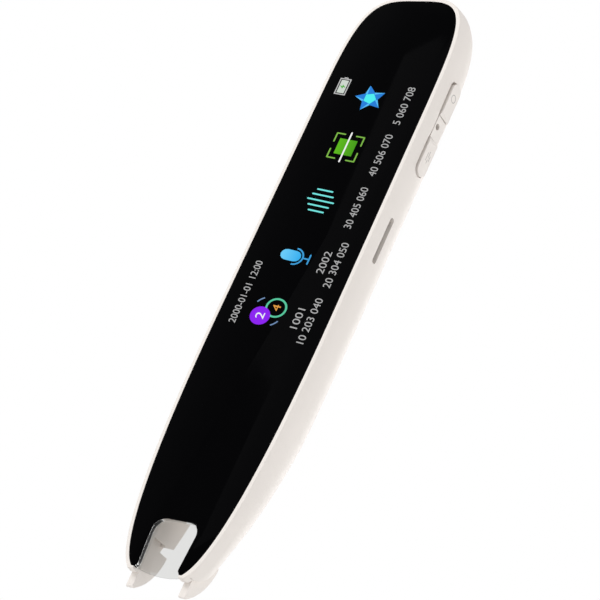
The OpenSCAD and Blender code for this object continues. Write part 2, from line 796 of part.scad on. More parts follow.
// Outline of the brushed plate, made larger by g: a square-shouldered top and a bullet end
function plate_side(g) = concat(
    arc([plate_half - plate_r, plate_from + plate_r], plate_r + g, -90, 0, 10),
    [for (i = [0:20]) let (s = plate_taper + bullet_l * (1 - pow(1 - i / 20, 2)),
        k = i == 20 ? -far : plate_slope(s), n = sqrt(1 + k * k))
        [max(plate_tip, plate_half_at(s) + g / n), s - g * k / n]]);
module plate_shape(g) polygon(mirrored(plate_side(g)));

module grille_shape(g) difference() {
    union() {
        translate([-grille_half - g, grille_from + grille_r])
            square([2 * (grille_half + g), plate_from + plate_r - grille_from - grille_r]);
        translate([-grille_half + grille_r, grille_from - g])
            square([2 * (grille_half - grille_r), grille_r + g + over]);
        for (x = [-1, 1]) translate([x * (grille_half - grille_r), grille_from + grille_r])
            circle(r = grille_r + g);
    }
    plate_shape(lip_w - g);
}

module speaker_grille() color([0.04, 0.04, 0.04]) plate(grille_d, body_t) difference() {
    grille_shape(0);
    for (i = [0:slots - 1]) sound_slot(i);
}
module speaker_mesh() color([0.6, 0.6, 0.6]) plate(grille_d - mesh_t, grille_d)
    translate([-mesh_half, slot_mid - mesh_reach]) square([2 * mesh_half, 2 * mesh_reach]);
module back_plate() color([0.93, 0.93, 0.92]) plate(plate_d, body_t) plate_shape(0);
module back_plate_tape() color([0.8, 0.8, 0.75]) plate(tape_d, plate_d) difference() {
    plate_shape(-0.8);
    for (h = case_holes) translate(h) circle(r = head_r + 0.2);
}

/* Rear shell */

shell_front = flange_t + seam;
shell_angles = [90, 86, 80, 72, 64, 56, 48, 40, 32, 24, 16, 8, 0];
hollow_angles = [90, 82, 72, 62, 52, 42, 32, 20, 8, 0];
shell_steps = concat([0.02], [for (i = [2:16]) corner_l * pow(i / 16, 3)],
    [for (i = [0:17]) let (s = taper_from + taper_l * (1 - pow(1 - i / 18, 1.6))) if (s < shell_end) s],
    [shell_end]);
hollow_steps = concat([0.3, 1.2, 3, 6, 10, 15, 22, 32], [for (i = [0:2:12]) nose_steps[i]]);
hollow_end_up = 12.8;
hollow_end = body_l - hollow_end_up;

// Half width of the raised back at s: it follows the plate, then narrows to a strip
pad_r = grille_r + pad_half - grille_half;
pad_border = pad_half - plate_half;
neck_from = plate_taper + 0.965 * bullet_l;
pad_root = 2.4;
function pad_half_at(s) =
    s < pad_from + pad_r ? pad_half - pad_r + sqrt(pow(pad_r, 2) - pow(pad_r - (s - pad_from), 2))
    : s > neck_from ? neck_half
    : let (k = plate_slope(s))
        max(neck_half, min(pad_half, plate_half_at(s) + pad_border * sqrt(1 + k * k)));
pad_strip_l = 22;
pad_steps = concat([for (i = [0:6]) pad_from + pad_r * pow(i / 6, 2)],
    [for (i = [1:3]) pad_from + pad_r + (plate_taper - pad_from - pad_r) * i / 3],
    [for (i = [1:11]) plate_taper + 0.98 * bullet_l * (1 - pow(1 - i / 11, 1.5))],
    [for (i = [1:5]) body_l - plate_end + pad_strip_l * i / 5]);
function pad_ring(s, first) =
    let (p = pad_half_at(s), top = pad_level(s) - (first ? pad_bevel : 0),
        half = [[p, pad_level(s) - pad_root], [p, pad_level(s) - pad_bevel - 0.001],
            [p - pad_bevel, top]])
    [for (q = concat(half, [for (i = [2:-1:0]) [-half[i][0], half[i][1]]]))
        [q[0], y_of(q[1]), z_of(s)]];

// Slot through the nose, grown by g at its sides and by back at its slanted wall
function slot_wall(d) = slot_top + (slot_edge_d - d) * slot_lean;
module slot_plan(d, g, back) {
    s0 = slot_wall(d) - back;
    for (x = [-1, 1]) translate([x * (slot_half + g - slot_corner), s0 + slot_corner])
        circle(r = slot_corner, $fn = 32);
    translate([-slot_half - g, total_l + over]) square([2 * (slot_half + g), over]);
}
module nose_slot(g, back) hull() {
    plate(-over, -over + 0.01) slot_plan(-over, g, back);
    plate(body_t + over, body_t + over + 0.01) slot_plan(body_t + over, g, back);
}

// Opening of the scan window in the slanted wall, made smaller by g
scan_d0 = frame_t + 0.35;
scan_d1 = 5.6;
scan_half = 4.8;
scan_t = 0.8;
module scan_opening(g, front, back) slice(-scan_half + g, scan_half - g)
    polygon([[scan_d0 + g, slot_wall(scan_d0 + g) + front], [scan_d1 - g, slot_wall(scan_d1 - g) + front],
        [scan_d1 - g, slot_wall(scan_d1 - g) - back], [scan_d0 + g, slot_wall(scan_d0 + g) - back]]);
module scan_window() color([0.85, 0.85, 0.83]) scan_opening(fit, 0, scan_t);

// Room for the feet: behind the fork's skins and out through its ends
module foot_room() {
    slice(slot_half - over, foot_outer + slide_gap) polygon([
        [-over, skin_end], [foot_post_d + 0.2, skin_end], [foot_post_d + 0.7, skin_end + 0.45],
        [room_d, room_s], [far, room_s - (far - room_d) * room_slope],
        [far, total_l + far], [-over, total_l + far]]);
    block(slot_half + skin_t, foot_outer + slide_gap, hollow_end - over, foot_top,
        frame_t, arm_back + 0.5);
}
module boss(x, s) pin_d(x, s, board_back + fit, floor_d + 0.2, boss_r);

module rear_shell() color(white) difference() {
    union() {
        difference() {
            union() {
                loft([for (s = flip(shell_steps)) ring(s, z_of(max(0, s - 0.02)), half_w(s), 0,
                    shell_front, pad_level(s) - pad_h, shell_angles)]);
                loft([for (s = flip(pad_steps)) pad_ring(s, s == pad_from)]);
            }
            difference() {
                loft([for (s = flip(hollow_steps)) let (p = inset_point(s, wall))
                    ring(s, z_of(p[1]), p[0], wall, 0, floor_d, hollow_angles)]);
                nose_slot(skin_t, 1.3);
                block(-far, far, hollow_end, far * 3, -over, far);
            }
        }
        for (h = case_holes) boss(h[0], h[1]);
    }
    // Seat of the front frame
    plate(0, frame_t + fit) polygon(outline(lip_t));
    nose_slot(0, 0);
    both_sides() foot_room();
    scan_opening(0, over, far / 10);
    // Seats of the grille, its mesh and the back plate
    plate(grille_d, far) grille_shape(0.1);
    plate(grille_d - mesh_t, far) translate([-mesh_half - fit, slot_mid - mesh_reach - fit])
        square([2 * (mesh_half + fit), 2 * (mesh_reach + fit)]);
    plate(floor_d - over, far) rounded(-mesh_half + 0.6, mesh_half - 0.6, slot_mid - mesh_reach + 0.6,
        slot_mid + mesh_reach - 0.6, 1);
    plate(tape_d, far) plate_shape(0.1);
    // Flat seats of the battery's pad and the speaker's gasket
    block(-cushion_half, cushion_half, battery_from + cushion_in, battery_end - cushion_in,
        floor_d - over, floor_d);
    plate(floor_d - over, floor_d)
        rounded(-speaker_half, speaker_half, speaker_from, speaker_from + speaker_l, 1.5);
    for (h = case_holes) {
        pin_d(h[0], h[1], 0, far, screw_r + fit);
        pin_d(h[0], h[1], tape_d - head_t - 0.1, far, head_r + 0.1);
    }
    // Charging port, key strip and card slot
    column(-over, usb_from + wall) usb_section(usb_gap);
    slice(key_in - 2, far) key_strip(0);
    block(key_in - 2, key_in + fit, key_from - 0.8, key_end + 0.8,
        key_d - key_w / 2 - stop_lap - 0.15, key_d + key_w / 2 + stop_lap + 0.15);
    slice(half_body - wall - over, far) stadium(card_d - card_w / 2, card_d + card_w / 2,
        card_from, card_from + card_l);
}

/* Scanner */

camera_half = 4.2;
camera_l = 5.8;
camera_s0 = bar_s - 2.4;
camera_s1 = camera_s0 + camera_l;
camera_d1 = 6.5;
barrel_d = (frame_t + camera_d1) / 2;
barrel_r = 1.7;
barrel_l = 2.4;
glass_r = 1.2;
glass_t = 0.5;
lights_half = 6.6;
lights_t = 0.6;
lamp_x = 3.4;
lamp_w = 1.6;
lamp_l = 0.8;
lamp_h = 0.7;

module camera_module() color([0.1, 0.1, 0.1]) difference() {
    union() {
        block(-camera_half, camera_half, camera_s0, camera_s1, frame_t, camera_d1);
        pin_s(0, barrel_d, camera_s1 - fit, camera_s1 + barrel_l, barrel_r);
    }
    pin_s(0, barrel_d, camera_s1 + barrel_l - glass_t - 0.2, camera_s1 + far, glass_r + 0.02);
}
module camera_lens() color([0.5, 0.55, 0.7])
    pin_s(0, barrel_d, camera_s1 + barrel_l - glass_t - 0.2, camera_s1 + barrel_l - 0.2, glass_r);
module light_board() color([0.12, 0.3, 0.2]) difference() {
    block(-lights_half, lights_half, camera_s1, camera_s1 + lights_t, frame_t + 0.1, camera_d1 - 0.1);
    pin_s(0, barrel_d, camera_s1 - over, camera_s1 + over, barrel_r + fit);
}
module scan_lights() color([0.95, 0.9, 0.5]) both_sides()
    block(lamp_x, lamp_x + lamp_w, camera_s1 + lights_t, camera_s1 + lights_t + lamp_l,
        barrel_d - lamp_h, barrel_d + lamp_h);
camera_flex_half = 2.8;
camera_link_up = 3.2;
camera_link_s = board_end - camera_link_up;
module camera_connector() color([0.25, 0.25, 0.25])
    block(-3.4, 3.4, camera_link_s, camera_link_s + 2.4, board_d - 0.45, board_d);
module camera_flex() color([0.85, 0.55, 0.2])
    block(-camera_flex_half, camera_flex_half, camera_link_s, camera_s0,
        board_d - 0.45 - flex_t, board_d - 0.45);

/* Scan feet */

// Outline of one foot: straight front, round back edge and a square top behind the post
module foot_shape() {
    r = foot_r - foot_round;
    tip = [foot_d + foot_round, total_l - foot_round];
    c = [foot_cd, foot_cs];
    lean = atan2(tip[1] - c[1], tip[0] - c[0]);
    top_a = asin((foot_top - foot_cs) / foot_r);
    polygon(concat(
        [[foot_d, foot_shoulder], [foot_post_d, foot_shoulder], [foot_post_d, foot_top]],
        arc(c, foot_r, top_a, lean, 24),
        arc(tip, foot_round, lean, 180, 8)));
}

module scan_feet() color(white) {
    both_sides() {
        slice(foot_in, foot_outer) foot_shape();
        slice(arm_in, foot_outer) polygon([[arm_d, bar_s], [bar_d + bar_t, bar_s],
            [bar_d + bar_t, bar_s + bar_h], [arm_back, bar_s + bar_h + 1],
            [arm_back, foot_top - 0.4], [arm_d, foot_top - 0.4]]);
        pin_s(spring_x, bar_mid, bar_s - spring_pin, bar_s + 0.5, spring_pin_r);
    }
    block(-foot_outer, foot_outer, bar_s, bar_s + bar_h, bar_d, bar_d + bar_t);
}

// Coil springs: round wire carried along a helix
spring_sides = 6;
spring_points = 12;
function spring_ring(t) =
    let (r = (spring_od - spring_wire) / 2, a = 360 * spring_turns * t,
        z = (spring_l - spring_wire) * t + spring_wire / 2)
    [for (i = [0:spring_sides - 1]) let (b = -360 * i / spring_sides)
        [(r + spring_wire / 2 * cos(b)) * cos(a), (r + spring_wire / 2 * cos(b)) * sin(a),
            z + spring_wire / 2 * sin(b)]];
module foot_springs() color([0.7, 0.7, 0.72]) for (x = [-spring_x, spring_x])
    translate([x, y_of(bar_mid), z_of(bar_s)])
        loft([for (i = [0:spring_turns * spring_points]) spring_ring(i / (spring_turns * spring_points))]);

push_r = 0.8;
push_in = 1;
module scan_switch() color([0.15, 0.15, 0.16]) difference() {
    block(-scan_switch_half, scan_switch_half, scan_switch_s, board_end,
        board_back, board_back + scan_switch_h);
    pin_s(0, bar_mid, board_end - foot_travel - push_in - 0.4, board_end + over, push_r + fit);
}
module scan_plunger() color([0.9, 0.4, 0.2]) pin_s(0, bar_mid, board_end - push_in, bar_s, push_r);

/* Screws */

module screw(x, s, head_d, tip_d) {
    pin_d(x, s, tip_d, head_d + fit, screw_r);
    difference() {
        pin_d(x, s, head_d, head_d + head_t, head_r);
        pin_d(x, s, head_d + head_t * 0.4, far, head_r * 0.4);
    }
}
module board_screws() color([0.6, 0.6, 0.62])
    for (h = board_holes) screw(h[0], h[1], board_back, chassis_d + 0.1);
module case_screws() color([0.6, 0.6, 0.62])
    for (h = case_holes) screw(h[0], h[1], tape_d - head_t - 0.1, chassis_d + 0.1);

cover_lens();
reading_window();
front_frame();
lens_gasket();
display_panel();
backlight_unit();
display_flex();
display_connector();
mid_frame();
main_board();
processor();
memory_chip();
power_chip();
shield_can();
antenna();
microphone();
usb_port();
usb_tongue();
card_socket();
card_contacts();
key_bridge();
power_key();
function_key();
key_switches();
power_plunger();
function_plunger();
battery();
battery_pad();
battery_lead();
battery_connector();
speaker();
speaker_gasket();
speaker_mesh();
speaker_grille();
back_plate();
back_plate_tape();
rear_shell();
scan_window();
camera_module();
camera_lens();
light_board();
scan_lights();
camera_flex();
camera_connector();
scan_feet();
foot_springs();
scan_switch();
scan_plunger();
case_screws();
board_screws();
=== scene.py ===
"""Finish of the scanning translator: cream casing, black glass, brushed back and clear nose window.

Places on the body are given as in its drawing, in millimetres: x across, s down from the top
end and d back from the glass face. put() turns them into the frame's metres.
"""
import math

import bpy
import numpy as np
from mathutils import Matrix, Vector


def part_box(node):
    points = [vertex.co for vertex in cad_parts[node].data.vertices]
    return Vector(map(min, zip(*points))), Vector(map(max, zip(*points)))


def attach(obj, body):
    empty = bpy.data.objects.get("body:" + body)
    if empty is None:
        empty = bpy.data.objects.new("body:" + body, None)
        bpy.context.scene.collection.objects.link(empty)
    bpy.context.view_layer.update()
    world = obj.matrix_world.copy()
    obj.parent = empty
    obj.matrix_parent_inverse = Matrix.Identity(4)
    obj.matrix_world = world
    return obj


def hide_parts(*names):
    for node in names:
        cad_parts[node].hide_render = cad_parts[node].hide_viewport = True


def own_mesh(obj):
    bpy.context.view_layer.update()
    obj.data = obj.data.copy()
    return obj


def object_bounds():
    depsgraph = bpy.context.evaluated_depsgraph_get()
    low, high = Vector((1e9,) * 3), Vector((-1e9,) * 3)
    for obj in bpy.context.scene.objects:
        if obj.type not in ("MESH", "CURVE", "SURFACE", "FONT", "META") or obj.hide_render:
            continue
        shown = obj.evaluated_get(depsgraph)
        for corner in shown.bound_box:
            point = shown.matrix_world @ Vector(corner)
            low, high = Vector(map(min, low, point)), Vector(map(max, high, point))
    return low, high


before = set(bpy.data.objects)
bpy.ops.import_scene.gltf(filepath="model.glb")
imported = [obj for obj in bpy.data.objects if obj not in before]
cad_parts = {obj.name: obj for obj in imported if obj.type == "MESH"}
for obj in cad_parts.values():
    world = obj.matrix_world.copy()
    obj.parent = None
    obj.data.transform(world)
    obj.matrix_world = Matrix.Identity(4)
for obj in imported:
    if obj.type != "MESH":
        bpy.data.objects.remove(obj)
cad_low, cad_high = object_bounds()

# ---------------------------------------------------------------- sizes, in millimetres

MM = 0.001
TOTAL_L = cad_high.z / MM
BODY_T = (cad_high.y - cad_low.y) / MM
BODY_L = TOTAL_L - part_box("front_frame")[0].z / MM
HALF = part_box("rear_shell")[1].x / MM

# Outline and cross-section
CORNER_L = 42.0
CORNER_POWERS = (5.24, 3.62)
TAPER_L = 66.6
TAPER_POWERS = (2.32, 3.81)
TAPER_FROM = BODY_L - TAPER_L
TAPER_OVER = 1.9
FALL_L, FALL_D = 38.8, 4.7
WAIST_D, WAIST_FALL = 4.0, 1.0
LEAN_IN = 0.35
CROWN = BODY_T + 0.4
BACK_POWER, BACK_POWER_FALL, BACK_POWER_LEAST = 3.0, 1.43, 1.93
END_ROUND_L, END_ROUND_D = 9.0, 8.0
TOP_SLOPE_L, TOP_SLOPE_RATE = 20.0, 1.6
TIP_NARROW = 0.8
TIP_SHORT = 0.62
WALL = 1.5
FAR = 60.0  # past the body's sides, for cutters
FAR_END = 400.0  # past its lower end

# Front
RIM = 1.3
RIM_ROUND = 0.16
LENS_T = 1.1
GLASS_FACE = 0.02  # just behind the lit picture elements
SEAT_D = 1.25
FLANGE_T = 0.85
SEAM_D = FLANGE_T + 0.1
SOFT_R = 0.9
FRAME_T = 2.4
LIP_T = 0.75
LEDGE_IN = RIM + 1.45
OPENING_END = BODY_L - 24
STOP_HALF, STOP_L = 8.35, 5.0

# Nose
WINDOW_L = 12.9
WINDOW_HALF = 6.2
WINDOW_WAIST = 5.65
WINDOW_R = 3.0
SLOT_HALF = 6.4
SLOT_CORNER = 2.0
SLOT_LEAN = 0.52
SLOT_TOP = BODY_L - 19.1
SLOT_EDGE_D = BODY_T - 1
SKIN_T = 0.65
SHELL_END = BODY_L - 0.95
HOLLOW_END = BODY_L - 12.8
SCAN_STRIP_HALF = 4.8
SCAN_STRIP_D = (2.75, 5.6)
CHANNEL_OUT, CHANNEL_D, CHANNEL_L = 8.4, 6.5, 14.0
FOOT_OUTER = 8.25
FOOT_TOP = BODY_L - 7.15
SKIN_END = FOOT_TOP - 1.9
ROOM_D = 9.3
ROOM_S = FOOT_TOP - 2.3
ROOM_SLOPE = 0.36

# Back
PAD_FROM = 6.4
PAD_RISE_X, PAD_RISE = 6.4, 0.15
PAD_HALF = 10.9
NECK_HALF = 7.6
PAD_ROOT = 2.4
PAD_BEVEL = 0.35
GRILLE_FROM = 10.0
GRILLE_HALF = 8.4
GRILLE_R = 4.0
GRILLE_T = 0.8
FINE_LINE = (0.46, 0.58)  # its two edges, out from the grille
FINE_LINE_T = 0.07
PLATE_FROM = 32.5
PLATE_HALF = 9.35
PLATE_R = 4.5
PLATE_T = 0.6
BULLET_L = 28.2
PLATE_TAPER = BODY_L - 30.6 - BULLET_L
LIP_W = 0.9
SLOT_PITCH = 1.92
SLOT_W = 0.95
SLOT_MID = GRILLE_FROM + 10.1
SLOT_REACH = (3.3, 2.7, 3.8, 5.1)
SLOT_SLANT = 0.9
CLOTH_IN = 0.12
SEAT_GAP = 0.1

# Side keys and ports
KEY_FROM, KEY_END = 20.7, 46.2
KEY_D, KEY_W = 6.2, 4.2
KEY_GROOVE, KEY_GROOVE_DEEP = 0.35, 1.3
KEY_CORNER, KEY_CORNER_POWER = 2.0, 0.7
KEY_SIGN = 0.008
BRIDGE_MID, BRIDGE_SPREAD = 33.2, 3.2
PINHOLE = (5.4, 33.0, 0.78)
KEY_OUT = HALF + 0.45
KEY_TILT = 0.35
USB_D = 5.3
USB_HALF, USB_H = 4.59, 3.4
CARD_FROM, CARD_END = 59.0, 71.0
CARD_D, CARD_W = 4.15, 1.45

# Lit picture, on axes of its own: u up the stick and v towards the side without keys. Its upright
# lines lean and are drawn out.
PICTURE_BACK, PICTURE_FACE, PICTURE_STEP = 0.03, 0.016, 0.005
PICTURE_LEAN = 0.12
PICTURE_TALL = 1.25

# Studio, in metres, and the viewpoint: turn from frame to lens axes, then place in millimetres
FLOOR_Z = -0.16
FLOOR_HALF = 6.0
MIDDLE = (0, 0, 0.08)
VIEW_TURN = (0.996487725, 0.643193277, -0.253989214)
VIEW_PLACE = (322.549, -370.163, -125.178)
VIEW_LENS = 141.507
SENSOR = 36.0

CASING = "casing"


# ---------------------------------------------------------------- places and curves

def put(x, s, d):
    """Points of the frame, in metres, for places x, s and d in millimetres."""
    x, s, d = np.broadcast_arrays(np.asarray(x, float), np.asarray(s, float), np.asarray(d, float))
    return np.stack([x, d - BODY_T / 2, TOTAL_L - s], -1) * MM


def half_w(s):
    """Half width of the casing at s: a superellipse at the top end, a flatter one down the nose."""
    s = np.asarray(s, float)
    m, n = CORNER_POWERS
    top = HALF * (1 - np.clip(1 - s / CORNER_L, 0, 1) ** m) ** (1 / n)
    run = np.clip((s - TAPER_FROM) / (TAPER_L + TAPER_OVER), 0, 1)
    m, n = TAPER_POWERS
    return np.minimum(top, HALF * (1 - run ** m) ** (1 / n))


def slope_of(curve, s):
    """Slope of a curve of s by central differences."""
    above, below = s + 0.002, np.maximum(s - 0.002, 0)
    return (curve(above) - curve(below)) / (above - below)


def spread(first, last, count, power):
    """Places from first to last, closest together at last for a power above 1."""
    return first + (last - first) * (1 - (1 - np.linspace(0, 1, count)) ** power)


TOP_STEPS = CORNER_L * np.linspace(1 / 40, 1, 40) ** 3
NOSE_STEPS = spread(TAPER_FROM, BODY_L - 0.2, 70, 1.6)
BODY_STEPS = np.concatenate([TOP_STEPS, NOSE_STEPS])


def mirrored(side):
    """Closed outline from its right side, an array of (x, s)."""
    return np.concatenate([side, side[::-1] * [-1, 1]])


def outline(inset):
    """The casing's outline moved in square to its edge, with a straight end across the nose."""
    k = slope_of(half_w, BODY_STEPS)
    n = np.sqrt(1 + k * k)
    side = np.stack([half_w(BODY_STEPS) - inset / n, BODY_STEPS + inset * k / n], -1)
    tip = [[half_w(BODY_L) - TIP_NARROW * inset, BODY_L - TIP_SHORT * inset]]
    return mirrored(np.concatenate([side, tip]))


def nose_share(s):
    """How far s lies down the nose: 0 above it, 1 at its end."""
    return np.maximum(0, (s - (BODY_L - FALL_L)) / FALL_L)


def end_drop(s):
    """How far the back line drops over the rounded top end."""
    return END_ROUND_D * (1 - np.sqrt(np.maximum(0, 1 - np.maximum(0, 1 - s / END_ROUND_L) ** 2)))


def crown_at(s):
    """Depth of the back line: flat, rounded off at the top, and a parabola down the nose."""
    return CROWN - end_drop(s) - FALL_D * nose_share(s) ** 2


def waist_at(s):
    """Depth of the widest line, which comes forward down the nose."""
    return WAIST_D - WAIST_FALL * nose_share(s)


def slope_power(s):
    """Roundness of the back's cross-section: softer towards both ends."""
    top = TOP_SLOPE_RATE * np.maximum(0, 1 - s / TOP_SLOPE_L) ** 2
    return np.maximum(BACK_POWER_LEAST, BACK_POWER - BACK_POWER_FALL * nose_share(s)) - top


def lean_at(d):
    """How far the side leans in at depth d: a parabola from the widest line to the glass."""
    return LEAN_IN * (np.maximum(0, WAIST_D - d) / WAIST_D) ** 2


def back_d(x, s):
    """Depth of the back slope at x: one superellipse from the widest line over the crown."""
    n = slope_power(s)
    part = np.maximum(0, 1 - np.minimum(1, x / half_w(s)) ** n) ** (1 / n)
    return waist_at(s) + (crown_at(s) - waist_at(s)) * part


def pad_level(s):
    """Depth of the raised back's face: flat, but never far above the slope round it."""
    return np.minimum(BODY_T, back_d(PAD_RISE_X, s) + PAD_RISE)


def plate_half_at(s):
    """Half width of the brushed plate: parallel, then a bullet-shaped end."""
    run = np.clip((s - PLATE_TAPER) / BULLET_L, 0, 1)
    return PLATE_HALF * (1 - run ** 4) ** (1 / 3)


def arc(x, s, radius, first, last, count):
    """Points of an arc about (x, s); angles in degrees."""
    a = np.radians(np.linspace(first, last, count))
    return np.stack([x + radius * np.cos(a), s + radius * np.sin(a)], -1)


def plate_outline(grow):
    """Outline of the brushed plate moved out square to its edge."""
    corner = arc(PLATE_HALF - PLATE_R, PLATE_FROM + PLATE_R, PLATE_R + grow, -90, 0, 24)
    s = spread(PLATE_TAPER, PLATE_TAPER + BULLET_L, 60, 2)[:-1]
    k = slope_of(plate_half_at, s)
    n = np.sqrt(1 + k * k)
    bullet = np.stack([plate_half_at(s) + grow / n, s - grow * k / n], -1)
    tip = [[0.05, PLATE_TAPER + BULLET_L + grow]]
    return mirrored(np.concatenate([corner, bullet, tip]))


def rounded_box(x0, x1, y0, y1, r, count=8):
    """Rectangle with round corners, as an array of its two coordinates."""
    corners = ((x1 - r, y1 - r), (x0 + r, y1 - r), (x0 + r, y0 + r), (x1 - r, y0 + r))
    return np.concatenate([arc(x, y, r, 90 * i, 90 * i + 90, count)
                           for i, (x, y) in enumerate(corners)])


def stadium(x0, x1, y0, y1):
    """Outline with two round ends, as an array of its two coordinates."""
    points = rounded_box(x0, x1, y0, y1, min(x1 - x0, y1 - y0) / 2, 16)
    step = np.abs(points - np.roll(points, 1, 0)).sum(1)
    return points[step > 1e-6]


# ---------------------------------------------------------------- mesh making

def new_mesh(name, verts, faces):
    """A mesh object from an array of places and lists of corners."""
    mesh = bpy.data.meshes.new(name)
    mesh.from_pydata(verts.tolist(), [], faces)
    mesh.update()
    piece = bpy.data.objects.new(name, mesh)
    bpy.context.scene.collection.objects.link(piece)
    return piece


def loft_parts(rings):
    """Vertices and faces of a closed solid through rings of equal length, (rings, points, 3).
    Quads join each ring to the next and one face closes each end. It is turned to face out."""
    m, n = rings.shape[:2]
    i = np.arange(n)
    j = (i + 1) % n
    k = np.arange(m - 1)[:, None] * n
    quads = np.stack([k + i, k + j, k + n + j, k + n + i], -1).reshape(-1, 4)
    verts = rings.reshape(-1, 3)
    p = verts[quads]
    inside = np.einsum("ij,ij->i", np.cross(p[:, 1] - p[:, 0], p[:, 2] - p[:, 0]), p[:, 0]).sum()
    inside += np.einsum("ij,ij->i", np.cross(p[:, 2] - p[:, 0], p[:, 3] - p[:, 0]), p[:, 0]).sum()
    caps = [i[::-1], i + (m - 1) * n]
    for cap in caps:
        c = verts[cap]
        inside += np.einsum("ij,ij->i", np.cross(c[1:-1] - c[:1], c[2:] - c[:1]), c[1:-1]).sum()
    faces = quads.tolist() + [cap.tolist() for cap in caps]
    if inside < 0:
        faces = [face[::-1] for face in faces]
    return verts, faces


def loft(name, rings):
    verts, faces = loft_parts(np.asarray(rings))
    return new_mesh(name, verts, faces)


def layered(name, layers):
    """Solid through (outline, depth) layers, from the glass side to the back."""
    return loft(name, [put(edge[:, 0], edge[:, 1], d) for edge, d in layers])


def prism_parts(edge, d0, d1):
    """Vertices and faces of an outline in (x, s), as thick as from d0 to d1."""
    edge = np.asarray(edge, float)
    return loft_parts(np.stack([put(edge[:, 0], edge[:, 1], d) for d in (d0, d1)]))


def prism(name, edge, d0, d1):
    return new_mesh(name, *prism_parts(edge, d0, d1))


def joined_mesh(name, parts):
    """One piece from several (vertices, faces) solids that stand apart."""
    first = np.cumsum([0] + [len(verts) for verts, _ in parts])
    faces = [[corner + start for corner in side]
             for (_, sides), start in zip(parts, first) for side in sides]
    return new_mesh(name, np.concatenate([verts for verts, _ in parts]), faces)


def slice_x(name, edge, x0, x1):
    """Outline in (d, s), as wide as from x0 to x1."""
    edge = np.asarray(edge, float)
    return loft(name, [put(x, edge[:, 1], edge[:, 0]) for x in (x0, x1)])


def column(name, edge, s0, s1):
    """Outline in (x, d), as long as from s0 to s1."""
    edge = np.asarray(edge, float)
    return loft(name, [put(edge[:, 0], s, edge[:, 1]) for s in (s0, s1)])


def block(name, x0, x1, s0, s1, d0, d1):
    return prism(name, [[x0, s0], [x1, s0], [x1, s1], [x0, s1]], d0, d1)


def evaluated_mesh(piece):
    bpy.context.view_layer.update()
    view = piece.evaluated_get(bpy.context.evaluated_depsgraph_get())
    return bpy.data.meshes.new_from_object(view)


def combine(piece, others, operation="DIFFERENCE"):
    """Cuts, joins or keeps the shared part of a solid with others, which are used up."""
    for other in others:
        step = piece.modifiers.new("combine", "BOOLEAN")
        step.operation = operation
        step.solver = "MANIFOLD"
        step.object = other
    mesh = evaluated_mesh(piece)
    piece.modifiers.clear()
    piece.data = mesh
    for other in others:
        bpy.data.objects.remove(other)
    return piece


def weigh_edges(mesh, seam):
    """Bevel weight of one on every sharp edge that isn't where frame and shell meet flush: at
    depth seam, or at the shell's lower end."""
    sharp = np.zeros(len(mesh.edges), bool)
    mesh.attributes["sharp_edge"].data.foreach_get("value", sharp)
    ends = np.zeros(len(mesh.edges) * 2, np.int32)
    mesh.edges.foreach_get("vertices", ends)
    place = np.zeros(len(mesh.vertices) * 3, np.float32)
    mesh.vertices.foreach_get("co", place)
    off = np.abs(place[1::3] / MM + BODY_T / 2 - seam) > 0.01
    off &= np.abs(TOTAL_L - place[2::3] / MM - SHELL_END) > 0.01
    weight = (sharp & off[ends].reshape(-1, 2).any(1)).astype(np.float32)
    mesh.attributes.new("bevel_weight_edge", "FLOAT", "EDGE").data.foreach_set("value", weight)


def finish(piece, body, material, replaces=(), sharp=32, bevel=0.0, segments=2, seam=None):
    """Smooth shading with crisp edges over an angle, small round edges, finish and body."""
    piece.data.shade_smooth()
    piece.data.set_sharp_from_angle(angle=math.radians(sharp))
    if seam is not None:
        weigh_edges(piece.data, seam)
    if bevel:
        step = piece.modifiers.new("edges", "BEVEL")
        step.width = bevel * MM
        step.segments = segments
        step.limit_method = "ANGLE" if seam is None else "WEIGHT"
        step.angle_limit = math.radians(sharp)
        step.use_clamp_overlap = True
        step.harden_normals = False
    piece.data.materials.clear()
    piece.data.materials.append(material)
    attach(piece, body)
    if replaces:
        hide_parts(*replaces)
    return piece


def refined(node, name, body, material, bevel, cuts=()):
    """A CAD node's solid with its triangles merged and its edges rounded."""
    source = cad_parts[node]
    piece = bpy.data.objects.new(name, source.data.copy())
    bpy.context.scene.collection.objects.link(piece)
    weld = piece.modifiers.new("weld", "WELD")
    weld.merge_threshold = 1e-6
    flat = piece.modifiers.new("flat", "DECIMATE")
    flat.decimate_type = "DISSOLVE"
    flat.angle_limit = math.radians(0.4)
    mesh = evaluated_mesh(piece)
    piece.modifiers.clear()
    piece.data = mesh
    combine(piece, cuts)
    return finish(piece, body, material, [node], 28, bevel, 3)


# ---------------------------------------------------------------- materials

def new_material(name, color, roughness, metallic=0.0, specular=0.5):
    material = bpy.data.materials.new(name)
    material.use_nodes = True
    shader = material.node_tree.nodes["Principled BSDF"]
    shader.inputs["Base Color"].default_value = (*color, 1)
    shader.inputs["Roughness"].default_value = roughness
    shader.inputs["Metallic"].default_value = metallic
    shader.inputs["Specular IOR Level"].default_value = specular
    return material, shader


def object_noise(material, scale, detail, stretch=(1, 1, 1), roughness=0.5):
    """Noise on Object coordinates, whose scale is in features per metre."""
    nodes, links = material.node_tree.nodes, material.node_tree.links
    place = nodes.new("ShaderNodeTexCoord")
    mapping = nodes.new("ShaderNodeMapping")
    mapping.inputs["Scale"].default_value = stretch
    noise = nodes.new("ShaderNodeTexNoise")
    noise.inputs["Scale"].default_value = scale
    noise.inputs["Detail"].default_value = detail
    noise.inputs["Roughness"].default_value = roughness
    links.new(place.outputs["Object"], mapping.inputs["Vector"])
    links.new(mapping.outputs["Vector"], noise.inputs["Vector"])
    return noise.outputs["Fac"]


